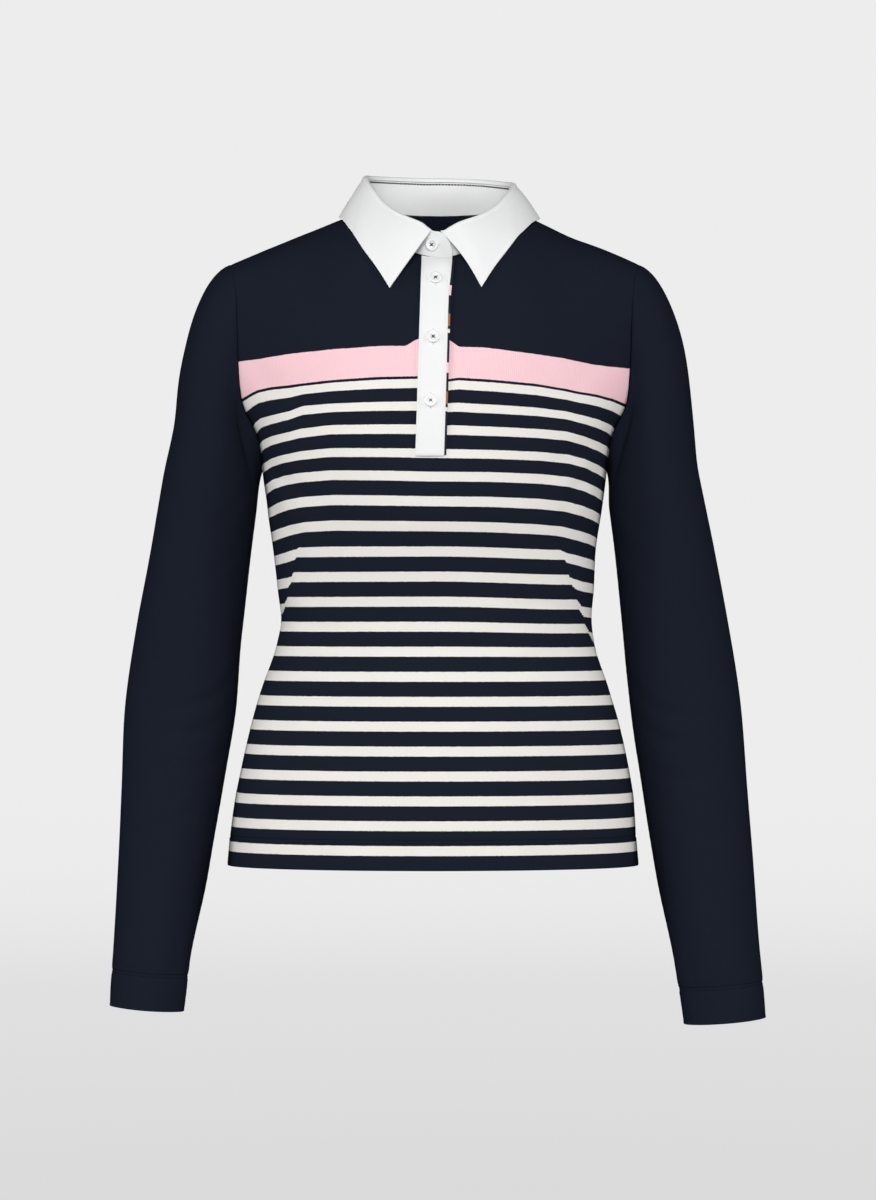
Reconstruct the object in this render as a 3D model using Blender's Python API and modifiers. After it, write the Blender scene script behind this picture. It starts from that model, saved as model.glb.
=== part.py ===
"""Long-sleeved polo shirt, hollow as it is when worn.

The origin is the centre of the neck base, level with the high shoulder points.
+Z is up and the front faces -Y.  Sizes below are in millimetres, and go into
the meshes in metres.
"""
import math
from collections import namedtuple

import bmesh
import bpy
from mathutils import Vector

MM = 0.001

# ---------------------------------------------------------------- cloth
WALL = 1.4              # body and sleeve cloth
HEM_WALL = 2.4          # where the cloth is turned up and stitched
BAND_WALL = 1.6         # collar and placket cloth
SEAM = 0.28             # each panel stops this short of its seam line
STAND_GAP = 0.6         # the collar stand stands this far above the neck seam
LEAF_GAP = 0.5          # and the leaf above the stand
LIFT = 0.35             # what lies on a panel stands this far off it

# ---------------------------------------------------------------- body
HEM_HEIGHT = -579.0
CHEST_HEIGHT = -230.0   # underarm level, where the chest is deepest
BODY_HEM = 25.0
FRONT_FULLNESS = 0.84   # below 1 the section is fuller than an ellipse
BACK_FULLNESS = 0.9

Section = namedtuple("Section", "height centre half_width front_depth back_depth")
BODY = [
    Section(-579, -4.4, 182.3, 104, 110),
    Section(-548, -4.2, 179.0, 103, 110),
    Section(-512, -3.0, 174.8, 102, 107),
    Section(-460, -2.4, 164.2, 99, 97),
    Section(-425, -2.6, 154.0, 96, 87),
    Section(-390, -2.2, 142.0, 93, 79),
    Section(-363, -1.6, 137.5, 93, 76),
    Section(-336, -1.9, 139.8, 96, 78),
    Section(-301, -3.1, 142.6, 104, 84),
    Section(-265, -2.9, 147.8, 114, 92),
    Section(-230, -3.1, 152.5, 118, 98),
]

# ---------------------------------------------------------------- neck and shoulders
NECK_CENTRE = 1.3
NECK_HALF_WIDTH = 64.0
NECK_FRONT_DEPTH = 66.0
NECK_BACK_DEPTH = 54.0
NECK_FRONT_DROP = 47.2
NECK_BACK_DROP = 2.0
SHOULDER_CENTRE = -3.1
SHOULDER_HALF_WIDTH = 181.0
SHOULDER_DROP = 48.7
NECK_SHARE = 0.40       # share of a half panel's top edge that is neck
NECK_ROUNDING = 0.50    # 0 rises straight to the neck, 1 rolls over to level
SHOULDER_ROUNDING = 1.0
NECK_SPREAD = 0.62      # below the seam the neck's hollow spreads out this far,
NECK_HOLD = 4           # and its sharp line is lost this fast
FRONT_LEAN = -0.004     # the centre front leans to the wearer's right
ACROSS_SPAN = 250.0     # more than one unit of across and of climb measure on the
CLIMB_SPAN = 260.0      # upper front, which keeps the search for a place on it steady

Armhole = namedtuple("Armhole", "rise half_width front_reach back_reach")
ARMHOLE = [
    Armhole(0.00, 152.5, 0, 0),
    Armhole(0.10, 156.0, 24, 24),
    Armhole(0.20, 168.0, 38, 40),
    Armhole(0.32, 171.0, 47, 50),
    Armhole(0.48, 172.3, 50, 56),
    Armhole(0.65, 174.0, 46, 54),
    Armhole(0.82, 177.6, 31, 37),
    Armhole(1.00, 181.0, 0, 0),
]
ARMHOLE_GAP = 0.7       # sleeve from body, across the seam
ARMHOLE_FADE = 6        # how fast the armhole's scoop fades into the panel

# ---------------------------------------------------------------- sleeves
SleeveRing = namedtuple("SleeveRing", "height centre half_width forward half_depth")
SLEEVE_RIGHT = [
    SleeveRing(-703, -255.6, 32.7, 34, 31),
    SleeveRing(-686, -254.2, 33.6, 32, 32),
    SleeveRing(-652, -250.9, 34.3, 28, 34),
    SleeveRing(-584, -242.5, 39.8, 15, 39),
    SleeveRing(-513, -235.4, 44.4, 2, 43),
    SleeveRing(-442, -228.3, 48.8, -6, 45),
    SleeveRing(-372, -220.4, 46.8, -8, 47),
    SleeveRing(-301, -209.7, 44.2, -6, 49),
    SleeveRing(-262, -204.0, 43.2, -3, 50),
]
SLEEVE_LEFT = [
    SleeveRing(-714, 251.2, 36.3, 34, 32),
    SleeveRing(-688, 248.6, 37.2, 31, 33),
    SleeveRing(-652, 244.3, 38.3, 27, 35),
    SleeveRing(-584, 235.0, 42.9, 15, 40),
    SleeveRing(-513, 227.4, 46.0, 2, 44),
    SleeveRing(-442, 219.5, 48.8, -6, 46),
    SleeveRing(-372, 210.6, 46.9, -8, 47),
    SleeveRing(-301, 200.5, 43.8, -6, 49),
    SleeveRing(-262, 194.2, 42.4, -3, 50),
]
SLEEVE_HEM = 31.0
CUFF_TILT = 0.08        # the cuff is lower on the inside of the arm
CAP_OUT = Vector((0.93, 0.0, -0.37))        # way the cloth leaves the shoulder point
UNDERARM_OUT = Vector((0.30, 0.0, -0.95))   # and the underarm
CAP_PULL = 0.20
UNDERARM_PULL = 0.30
ARM_PULL = 0.33

# ---------------------------------------------------------------- collar
CollarTop = namedtuple("CollarTop", "turn stand_top roll fold")
COLLAR_TOPS = [         # turn in degrees from the centre front; the leaf rises by the
    CollarTop(0, -25.2, 0.3, 5.4),              # roll over the stand, and then folds
    CollarTop(5, -25.1, 0.3, 5.4),              # over this far outwards
    CollarTop(15, -19.3, 0.4, 5.5),
    CollarTop(33, -11.4, 0.5, 5.7),
    CollarTop(48, -2.5, 0.5, 5.9),
    CollarTop(62, 8.1, 0.6, 6.1),
    CollarTop(76, 16.7, 0.6, 6.2),
    CollarTop(90, 22.4, 0.6, 6.2),
    CollarTop(120, 25.8, 0.6, 6.2),
    CollarTop(150, 28.1, 0.6, 6.2),
    CollarTop(180, 28.9, 0.6, 6.2),
]
COLLAR_TILT = 3.2       # the collar is higher by this at the wearer's right
CollarEdge = namedtuple("CollarEdge", "turn across climb")
COLLAR_EDGES = [        # the leaf's edge as a place on the body; past a climb of 2 it
    CollarEdge(0, 0.202, 1.622),                # lies behind the shoulder
    CollarEdge(33, 0.266, 1.660),
    CollarEdge(62, 0.358, 1.705),
    CollarEdge(76, 0.430, 1.780),
    CollarEdge(90, 0.505, 1.950),
    CollarEdge(120, 0.450, 2.105),
    CollarEdge(150, 0.250, 2.130),
    CollarEdge(180, 0.000, 2.140),
]
OVERLAP = 2.0           # the closing end of the stand lies this far outside the other,
OVERLAP_START = -60.0   # and moves out there between these turns
OVERLAP_FULL = -15.0
OVER_END = 9.6          # degrees past the centre front
UNDER_END = -371.0
ROUND_START = -1.4      # the closing end is rounded off from here
ROUND_SPAN = 11.2
OVER_COLUMNS = [OVER_END, 7.0, 4.0, 0.0, -5.0]
UNDER_COLUMNS = [-355.0, -360.0, -366.0, UNDER_END]
LEAF_START = 6.0        # degrees from the centre front to the leaf's front edges
LEAF_END = 2.5
LEAF_LEAN = 0.006       # both points lie a little towards the wearer's left
LEAF_OFF = 1.4          # the leaf's edge from the body
LEAF_BOW = 2.5          # how far the fall of the leaf bows out

# ---------------------------------------------------------------- placket and buttons
PLACKET_WIDTH = 24.2
PLACKET_TOP_GAP = 1.7     # below the neck seam
PLACKET_FOOT = -221.5
PLACKET_TOP_X = -3.2
PLACKET_FOOT_X = -7.1
CUT_OUT = 0.050         # half width of the opening, as a share of the half panel
UNDER_INSET = 0.0014    # the piece in the opening is smaller by this share each side
UNDER_FOOT = 0.002      # and by this much of the climb at its foot
BUTTON_RADIUS = 5.7
BUTTON_THICKNESS = 2.2
BUTTON_DISH = 0.6
BUTTON_LIFT = 0.3
Button = namedtuple("Button", "name x height")
STAND_BUTTON = Button("button_collar", -5.2, -36.2)
PLACKET_BUTTONS = [
    Button("button_1", -2.1, -67.2),
    Button("button_2", -4.1, -118.8),
    Button("button_3", -6.2, -173.9),
]

# ---------------------------------------------------------------- mesh fineness
LOWER_ROWS = 14
UPPER_ROWS = 12
CAP_ROWS = 8
ARM_ROWS = 14
NECK_COLUMNS = 7        # to each side
SHOULDER_COLUMNS = 7
EDGE_COLUMN = 0.985     # a narrow column along each side keeps the two walls parallel
ROUND_SEGMENTS = 20

NAVY = (0.012, 0.015, 0.024, 1.0)
STRIPED = (0.30, 0.29, 0.28, 1.0)
WHITE = (0.88, 0.88, 0.88, 1.0)
PEARL = (0.90, 0.90, 0.90, 1.0)
FACING = (0.32, 0.16, 0.12, 1.0)


# ================================================================ small tools
def mix(low, high, share):
    return low + (high - low) * share


def ease(share):
    """0 to 1 with level ends."""
    share = min(max(share, 0.0), 1.0)
    return share * share * (3 - 2 * share)


def smooth(rows, key, column, place):
    """One column of a table, read as a smooth curve at a place on its key column."""
    keys = [getattr(row, key) for row in rows]
    values = [getattr(row, column) for row in rows]
    last = len(rows) - 1
    place = min(max(place, keys[0]), keys[last])
    low = max(i for i in range(last) if keys[i] <= place)

    def slope(i):
        before, after = max(i - 1, 0), min(i + 1, last)
        return (values[after] - values[before]) / (keys[after] - keys[before])

    span = keys[low + 1] - keys[low]
    t = (place - keys[low]) / span
    return ((1 + 2 * t) * (1 - t) ** 2 * values[low]
            + t * (1 - t) ** 2 * span * slope(low)
            + t * t * (3 - 2 * t) * values[low + 1]
            + t * t * (t - 1) * span * slope(low + 1))


def steps(low, high, count):
    return [mix(low, high, i / count) for i in range(count + 1)]


# ================================================================ forms
def neck_line(turn):
    """Neck seam; the turn is in degrees from the centre front."""
    angle = math.radians(turn)
    ahead = math.cos(angle)
    if ahead > 0:
        depth, drop = -NECK_FRONT_DEPTH, NECK_FRONT_DROP * ahead ** 1.5
    else:
        depth, drop = -NECK_BACK_DEPTH, NECK_BACK_DROP * abs(ahead) ** 1.5
    return Vector((NECK_CENTRE + NECK_HALF_WIDTH * math.sin(angle), depth * ahead, -drop))


def neck_turn(x):
    return math.degrees(math.asin((x - NECK_CENTRE) / NECK_HALF_WIDTH))


def body_form(side, across, climb):
    """Outer face of the body: side -1 is the front and 1 the back, across runs from
    -1 to 1, and climb from 0 at the hem through 1 at the chest to 2 at the top."""
    if side < 0:
        across += FRONT_LEAN * min(climb, 1.0) * (1 - across * across) ** 2
    turn = across * math.pi / 2
    column = "front_depth" if side < 0 else "back_depth"
    ahead = max(math.cos(turn), 0.0) ** (FRONT_FULLNESS if side < 0 else BACK_FULLNESS)
    height = mix(HEM_HEIGHT, CHEST_HEIGHT, min(climb, 1.0))
    half = smooth(BODY, "height", "half_width", height)
    depth = smooth(BODY, "height", column, height)
    low = Vector((smooth(BODY, "height", "centre", height) + half * math.sin(turn),
                  side * depth * ahead, height))
    if climb <= 1:
        return low

    rise = climb - 1
    reach = abs(across)
    way = 1 if across > 0 else -1
    if reach <= NECK_SHARE:
        angle = 90 * across / NECK_SHARE
        top = neck_line(angle if side < 0 else 180 - angle)
    else:
        out = (reach - NECK_SHARE) / (1 - NECK_SHARE)
        point = Vector((SHOULDER_CENTRE + way * SHOULDER_HALF_WIDTH, 0, -SHOULDER_DROP))
        top = neck_line(90 * way).lerp(point, out)
    rounding = mix(NECK_ROUNDING, SHOULDER_ROUNDING, ease(reach / NECK_SHARE))
    swing = rise * math.pi / 2
    up = mix(rise, math.sin(swing), rounding)
    back = mix(rise ** 1.5, 1 - math.cos(swing), rounding)
    fade = reach ** ARMHOLE_FADE
    neck_depth, neck_drop = ((NECK_FRONT_DEPTH, NECK_FRONT_DROP) if side < 0
                             else (NECK_BACK_DEPTH, NECK_BACK_DROP))
    spread = (SHOULDER_CENTRE + SHOULDER_HALF_WIDTH * across,
              side * neck_depth * max(1 - (reach / NECK_SPREAD) ** 2, 0.0) ** 2,
              -neck_drop * (1 - ease(reach / 0.5)) - SHOULDER_DROP * reach * reach)
    top = Vector(spread).lerp(top, rise ** NECK_HOLD)
    armhole_half = smooth(ARMHOLE, "rise", "half_width", rise)
    armhole_reach = smooth(ARMHOLE, "rise", "front_reach" if side < 0 else "back_reach", rise)
    widen = armhole_half - mix(ARMHOLE[0].half_width, SHOULDER_HALF_WIDTH, up)
    return Vector((mix(low.x, top.x, up) + way * widen * fade,
                   mix(low.y, top.y, back) + side * armhole_reach * (1 - ahead),
                   mix(low.z, top.z, up)))


def front_place(x, height):
    """Across and climb of the front above the chest, for a place seen from the front."""
    across, climb = 0.0, 1.5
    for _ in range(40):
        here = body_form(-1, across, climb)
        across += (x - here.x) / ACROSS_SPAN
        climb += (height - here.z) / CLIMB_SPAN
        climb = min(max(climb, 1.0), 2.0)
    return across, climb


def front_normal(across, climb):
    step = 0.01
    climb = min(climb, 2 - step)
    right = body_form(-1, across + step, climb) - body_form(-1, across - step, climb)
    up = body_form(-1, across, climb + step) - body_form(-1, across, climb - step)
    return right.cross(up).normalized()


def on_front(x, height, off):
    """A point off the front panel's outer face, along its normal."""
    across, climb = front_place(x, height)
    return body_form(-1, across, climb) + front_normal(across, climb) * (off + SEAM)


def sleeve_ring(rows, arm, height, turn):
    """Round the arm, from its inner side by way of the front; the turn is in radians."""
    centre = smooth(rows, "height", "centre", height)
    inward = smooth(rows, "height", "half_width", height) * math.cos(turn)
    forward = smooth(rows, "height", "forward", height)
    depth = smooth(rows, "height", "half_depth", height)
    return Vector((centre - arm * inward, -forward - depth * math.sin(turn),
                   height - CUFF_TILT * inward))


def sleeve_form(rows, arm, place, along):
    """place runs 0 to 2 round the armhole, from the underarm over the front to the
    shoulder point at 1; along runs 0 to 1 down the cap and 1 to 2 down the arm."""
    side = -1 if place <= 1 else 1
    turn = place * math.pi
    top = rows[-1].height
    if along > 1:
        return sleeve_ring(rows, arm, mix(top, rows[0].height, along - 1), turn)
    rise = upper_rise(place if place <= 1 else 2 - place)
    start = body_form(side, arm, 1 + rise) + Vector((arm * ARMHOLE_GAP, 0, 0))
    end = sleeve_ring(rows, arm, top, turn)
    above = (1 - math.cos(turn)) / 2
    out = UNDERARM_OUT.lerp(CAP_OUT, above)
    out.x *= arm
    up = (end - sleeve_ring(rows, arm, top - 20, turn)).normalized()
    reach = (end - start).length
    leave = start + out.normalized() * reach * mix(UNDERARM_PULL, CAP_PULL, above)
    arrive = end + up * reach * ARM_PULL
    t, s = along, 1 - along
    return start * s ** 3 + leave * 3 * s * s * t + arrive * 3 * s * t * t + end * t ** 3


def upper_rise(share):
    """Rows above the chest crowd towards the shoulder seam, where the cloth bends most."""
    return 1 - (1 - share) ** 1.5


def collar_value(rows, column, turn):
    return smooth(rows, "turn", column, min(abs(turn), 360 - abs(turn)))


def stand_form(turn, share):
    """Outer face of the stand.  The turn falls from the closing end, round by the
    wearer's right and the back, to the inner end; share goes up from 0 to 1."""
    out = OVERLAP * ease((turn - OVERLAP_START) / (OVERLAP_FULL - OVERLAP_START))
    base = neck_line(turn)
    ahead = Vector((base.x - NECK_CENTRE, base.y, 0)).normalized()
    base = base + ahead * out + Vector((0, 0, STAND_GAP))
    side = math.sin(math.radians(turn))
    height = collar_value(COLLAR_TOPS, "stand_top", turn) - base.z
    height -= COLLAR_TILT * side * abs(side)
    past = (turn - ROUND_START) / ROUND_SPAN
    if past > 0:
        height *= math.sqrt(max(1 - past * past, 0.03))
    return base + Vector((0, 0, height * share))


def over_shoulder(across, climb):
    """Front up to a climb of 2, and on down the back."""
    if climb <= 2:
        return body_form(-1, across, climb)
    return body_form(1, across, 4 - climb)


def leaf_edge(turn):
    """Edge of the leaf, laid on the body."""
    way, start = (1, LEAF_END) if turn < -180 else (-1, LEAF_START)
    turn = 180 * (min(-turn, 360 + turn) - start) / (180 - start)
    across = way * collar_value(COLLAR_EDGES, "across", turn)
    across += LEAF_LEAN * max(math.cos(math.radians(turn)), 0.0)
    climb = collar_value(COLLAR_EDGES, "climb", turn)
    step = 0.01
    right = over_shoulder(across + step, climb) - over_shoulder(across - step, climb)
    up = over_shoulder(across, climb + step) - over_shoulder(across, climb - step)
    normal = right.cross(up).normalized()
    return over_shoulder(across, climb) + normal * (LEAF_OFF + BAND_WALL)


def leaf_form(turn, share):
    """Upper face of the leaf: share runs from 0 at the top of the stand, over the fold
    to 1, and on to 2 at the edge; the turn falls as on the stand."""
    top = stand_form(turn, 1) + Vector((0, 0, LEAF_GAP))
    ahead = Vector((top.x - NECK_CENTRE, top.y, 0)).normalized()
    inner = top - ahead * BAND_WALL
    if share <= 0:
        return inner
    crown = inner + Vector((0, 0, collar_value(COLLAR_TOPS, "roll", turn)))
    fold = collar_value(COLLAR_TOPS, "fold", turn)
    radius = fold / 2
    if share < 1:
        swing = math.pi * share
        return (crown + ahead * radius * (1 - math.cos(swing))
                + Vector((0, 0, radius * math.sin(swing))))
    down = share - 1
    bow = ahead * LEAF_BOW * math.sin(math.pi * down)
    return (crown + ahead * fold).lerp(leaf_edge(turn), down) + bow


# ================================================================ building
def finish_material(name, colour, roughness):
    material = bpy.data.materials.new(name)
    material.use_nodes = True
    shader = material.node_tree.nodes["Principled BSDF"]
    shader.inputs["Base Color"].default_value = colour
    shader.inputs["Roughness"].default_value = roughness
    shader.inputs["Metallic"].default_value = 0.0
    return material


def place_object(name, mesh, collection, material):
    piece = bpy.data.objects.new(name, mesh)
    collection.objects.link(piece)
    mesh.materials.append(material)
    mesh.shade_smooth()
    return piece


def cloth(name, across, along, form, wall, collection, material,
          outward=False, tube=False, leave_out=None, hem=None):
    """A sheet on a form, given its wall.  Its grid has a column for each value of across
    and a row for each value of along; leave_out says which cells are cut away, and hem
    which rows are turned up."""
    work = bmesh.new()
    columns, rows = len(across) - 1, len(along) - 1
    bmesh.ops.create_grid(work, x_segments=columns, y_segments=rows, size=0.5)
    layer = work.verts.layers.deform.verify()
    cell = {}
    for vertex in work.verts:
        i = round((vertex.co.x + 0.5) * columns)
        j = round((vertex.co.y + 0.5) * rows)
        cell[vertex] = (i, j)
    if leave_out:
        gone = [face for face in work.faces
                if leave_out(sum(cell[v][0] for v in face.verts) / 4,
                             sum(cell[v][1] for v in face.verts) / 4)]
        bmesh.ops.delete(work, geom=gone, context="FACES")
    for vertex in work.verts:
        i, j = cell[vertex]
        vertex.co = form(across[i], along[j]) * MM
        vertex[layer][0] = 1.0 if hem and hem(j) else 0.0
    if tube:
        bmesh.ops.remove_doubles(work, verts=work.verts, dist=0.001 * MM)
    mesh = bpy.data.meshes.new(name)
    work.to_mesh(mesh)
    work.free()
    piece = place_object(name, mesh, collection, material)
    piece.vertex_groups.new(name="turned_hem")
    solidify = piece.modifiers.new("wall", "SOLIDIFY")
    solidify.offset = 1.0 if outward else -1.0
    solidify.thickness = wall * MM
    if hem:
        solidify.thickness = HEM_WALL * MM
        solidify.vertex_group = "turned_hem"
        solidify.thickness_vertex_group = wall / HEM_WALL
    return piece


def build_body(collection):
    neck = steps(0, NECK_SHARE, NECK_COLUMNS)
    shoulder = steps(NECK_SHARE, EDGE_COLUMN, SHOULDER_COLUMNS)[1:] + [1.0]
    front_half = [0.0, CUT_OUT] + steps(CUT_OUT, NECK_SHARE, NECK_COLUMNS - 1)[1:] + shoulder
    back_half = neck + shoulder
    heights = steps(HEM_HEIGHT, HEM_HEIGHT + BODY_HEM, 1)
    heights += steps(heights[-1], CHEST_HEIGHT, LOWER_ROWS - 1)[1:]
    climbs = [(h - HEM_HEIGHT) / (CHEST_HEIGHT - HEM_HEIGHT) for h in heights]
    climbs += [1 + upper_rise(i / UPPER_ROWS) for i in range(1, UPPER_ROWS + 1)]

    def both_ways(half):
        return [-value for value in reversed(half[1:])] + half

    def front_face(across, climb):
        return body_form(-1, across, climb) + Vector((0, -SEAM, 0))

    def back_face(across, climb):
        return body_form(1, -across, climb) + Vector((0, SEAM, 0))

    columns = both_ways(front_half)
    middle = len(front_half) - 1

    def cut_out(column, row):
        return abs(column - middle) < 1 and row > LOWER_ROWS + 1

    navy = finish_material("navy_knit", NAVY, 0.85)
    striped = finish_material("striped_knit", STRIPED, 0.85)
    cloth("front", columns, climbs, front_face, WALL, collection, striped,
          leave_out=cut_out, hem=lambda row: row <= 1)
    cloth("back", both_ways(back_half), climbs, back_face, WALL, collection, navy,
          hem=lambda row: row <= 1)


def build_sleeves(collection):
    navy = finish_material("navy_sleeve_knit", NAVY, 0.85)
    around = steps(0, 2, 2 * UPPER_ROWS)
    for name, arm, rows in (("sleeve_right", -1, SLEEVE_RIGHT), ("sleeve_left", 1, SLEEVE_LEFT)):
        length = rows[-1].height - rows[0].height
        hem_start = 2 - SLEEVE_HEM / length
        along = steps(0, 1, CAP_ROWS) + steps(1, hem_start, ARM_ROWS - 1)[1:] + [2.0]
        last = len(along) - 1

        def face(place, down, rows=rows, arm=arm):
            return sleeve_form(rows, arm, place if arm > 0 else 2 - place, down)

        cloth(name, list(reversed(around)), along, face, WALL, collection, navy, tube=True,
              hem=lambda row, last=last: row >= last - 1)


def build_collar(collection):
    white = finish_material("collar_cotton", WHITE, 0.8)
    front = [-90 * value / NECK_SHARE for value in
             [CUT_OUT] + steps(CUT_OUT, NECK_SHARE, NECK_COLUMNS - 1)[1:]]
    back = steps(-90, -180, NECK_COLUMNS)[1:]
    half = front + back
    way_round = half + [-360 - turn for turn in reversed(half[:-1])]
    stand = OVER_COLUMNS + way_round + UNDER_COLUMNS
    cloth("collar_stand", list(reversed(stand)), steps(0, 1, 3), stand_form, BAND_WALL,
          collection, white)
    leaf = [-LEAF_START]
    for turn, following in zip(way_round, way_round[1:] + [-354.0]):
        leaf.append(turn)
        if 45 < min(-turn, 360 + following) < 90:
            leaf.append((turn + following) / 2)
    leaf += [-354.0, LEAF_END - 360]
    fold = [0.0, 0.02, 0.25, 0.5, 0.75] + steps(1, 2, 5)
    cloth("collar_leaf", leaf, fold, leaf_form, BAND_WALL, collection, white)


def build_placket(collection):
    white = finish_material("placket_cotton", WHITE, 0.8)
    facing = finish_material("placket_facing", FACING, 0.8)

    def over(x, share):
        x += mix(PLACKET_FOOT_X, PLACKET_TOP_X, share)
        top = neck_line(neck_turn(x)).z - PLACKET_TOP_GAP
        return on_front(x, mix(PLACKET_FOOT, top, share), LIFT)

    half = PLACKET_WIDTH / 2
    climbs = [1 + upper_rise(i / UPPER_ROWS) for i in range(1, UPPER_ROWS + 1)]
    heights = [body_form(-1, 0, climb).z for climb in climbs]
    shares = [(height - PLACKET_FOOT) / (heights[-1] - PLACKET_FOOT) for height in heights]
    cloth("placket_over", steps(-half, half, 4), [0.0] + shares, over, BAND_WALL, collection,
          white, outward=True)

    def under(across, climb):
        return body_form(-1, across, climb) + Vector((0, -SEAM, 0))

    reach = CUT_OUT - UNDER_INSET
    climbs[0] += UNDER_FOOT
    cloth("placket_under", [-reach, 0.0, reach], climbs, under, WALL, collection, facing)


def build_button(button, point, normal, collection, material):
    """A turned disc with a raised rim, its back on the cloth."""
    radius, thick = BUTTON_RADIUS, BUTTON_THICKNESS
    profile = [(0.0, thick - BUTTON_DISH), (0.52 * radius, thick - BUTTON_DISH),
               (0.68 * radius, thick), (0.88 * radius, thick), (radius, 0.6 * thick),
               (0.86 * radius, 0.0), (0.0, 0.0)]
    mesh = bpy.data.meshes.new(button.name)
    points = [(x * MM, 0, z * MM) for x, z in profile]
    mesh.from_pydata(points, [(i, i + 1) for i in range(len(points) - 1)], [])
    piece = place_object(button.name, mesh, collection, material)
    piece.location = (point + normal * BUTTON_LIFT) * MM
    piece.rotation_mode = "QUATERNION"
    piece.rotation_quaternion = normal.to_track_quat("Z", "Y")
    screw = piece.modifiers.new("turn", "SCREW")
    screw.steps = screw.render_steps = ROUND_SEGMENTS
    screw.use_merge_vertices = True
    screw.merge_threshold = 0.00002
    screw.use_smooth_shade = True


def build_buttons(collection):
    pearl = finish_material("button_resin", PEARL, 0.25)
    for button in PLACKET_BUTTONS:
        across, climb = front_place(button.x, button.height)
        normal = front_normal(across, climb)
        build_button(button, on_front(button.x, button.height, LIFT + BAND_WALL), normal,
                     collection, pearl)
    turn = neck_turn(STAND_BUTTON.x)
    low, high = stand_form(turn, 0), stand_form(turn, 1)
    share = (STAND_BUTTON.height - low.z) / (high.z - low.z)
    along = stand_form(turn + 2, share) - stand_form(turn - 2, share)
    normal = along.cross(high - low).normalized()
    build_button(STAND_BUTTON, stand_form(turn, share), normal, collection, pearl)


def main():
    for thing in list(bpy.data.objects):
        bpy.data.objects.remove(thing, do_unlink=True)
    collection = bpy.data.collections.new("polo_shirt")
    bpy.context.scene.collection.children.link(collection)
    build_body(collection)
    build_sleeves(collection)
    build_collar(collection)
    build_placket(collection)
    build_buttons(collection)


main()
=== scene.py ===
# %% [markdown]
# # A long-sleeved polo shirt
#
# This lesson dresses a imported model of a knitted polo shirt.  The model holds the
# plain solids: two body panels, two sleeves, a collar in two pieces, a placket and
# its buttons.  Here each cloth solid is replaced by a finer shell that follows the
# same form, with its stripes, seams, hems and stitches.  We start by loading the
# model; the dressed shirt keeps its size.  The dressed shirt has to stay that size.

# %% Load the imported model
import math
from collections import namedtuple

import bmesh
import bpy
from mathutils import Matrix, Vector, noise


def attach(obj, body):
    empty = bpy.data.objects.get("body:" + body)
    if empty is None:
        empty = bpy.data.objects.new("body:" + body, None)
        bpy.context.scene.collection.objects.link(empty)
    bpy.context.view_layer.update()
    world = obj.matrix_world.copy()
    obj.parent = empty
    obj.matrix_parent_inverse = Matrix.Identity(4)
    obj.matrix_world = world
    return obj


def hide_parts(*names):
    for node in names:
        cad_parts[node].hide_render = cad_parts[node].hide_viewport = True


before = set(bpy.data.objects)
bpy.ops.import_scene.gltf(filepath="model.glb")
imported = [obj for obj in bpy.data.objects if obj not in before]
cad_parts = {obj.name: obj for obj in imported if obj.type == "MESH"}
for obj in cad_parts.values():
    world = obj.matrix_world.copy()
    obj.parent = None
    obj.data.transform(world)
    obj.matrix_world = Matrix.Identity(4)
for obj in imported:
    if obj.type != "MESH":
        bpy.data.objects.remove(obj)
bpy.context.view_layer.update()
scene = bpy.context.scene
MM = 0.001
print("nodes to dress:", len(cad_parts))

# %% [markdown]
# ## Camera
#
# The shirt is seen straight from the front, by a camera level with its middle and
# four metres away.  How much the level hem seems to sag in the middle tells the
# distance: a nearer camera would bend it more.  The frame is 1200 pixels high, and
# each pixel covers 0.885 mm at the shirt's middle plane, which gives the lens.

# %% Camera
FRAME_HEIGHT = 1200
PIXEL = 0.885 * MM
DISTANCE = 4.0
EYE_LEVEL = -0.3452

lens = bpy.data.cameras.new("camera")
lens.sensor_fit = "VERTICAL"
lens.sensor_height = 36.0
lens.lens = lens.sensor_height * DISTANCE / (FRAME_HEIGHT * PIXEL)
camera = bpy.data.objects.new("camera", lens)
camera.location = (0.0, -DISTANCE, EYE_LEVEL)
camera.rotation_euler = (math.radians(90), 0.0, 0.0)
scene.collection.objects.link(camera)
scene.camera = camera
scene.view_settings.view_transform = "Standard"
print(f"lens {lens.lens:.1f} mm")

# %% [markdown]
# ## A pale studio
#
# A flat floor would meet a wall in a line behind the shirt.  A photographer hangs a
# paper sweep in its place.  Ours is a wide shallow bowl, so that it is seamless from
# every side: one line of points is spun round the middle.  The paper glows by itself,
# more towards its wall, which keeps it even however the lamps stand.

# %% The bowl
FLOOR = -0.98
BOWL = [(0.0, 0.0), (3.6, 0.0), (4.6, 0.0), (5.4, 0.1), (6.1, 0.4), (6.6, 0.9),
        (6.9, 1.6), (7.0, 2.4), (7.0, 4.4)]


def new_object(name, mesh, materials=()):
    piece = bpy.data.objects.new(name, mesh)
    scene.collection.objects.link(piece)
    for material in materials:
        mesh.materials.append(material)
    return piece


def mesh_from(work, name, smooth=True):
    mesh = bpy.data.meshes.new(name)
    work.to_mesh(mesh)
    work.free()
    if smooth:
        mesh.shade_smooth()
    return mesh


def plain_material(name, colour, roughness):
    material = bpy.data.materials.new(name)
    material.use_nodes = True
    shader = material.node_tree.nodes["Principled BSDF"]
    shader.inputs["Base Color"].default_value = (*colour, 1.0)
    shader.inputs["Roughness"].default_value = roughness
    shader.inputs["Specular IOR Level"].default_value = 0.0
    return material


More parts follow.
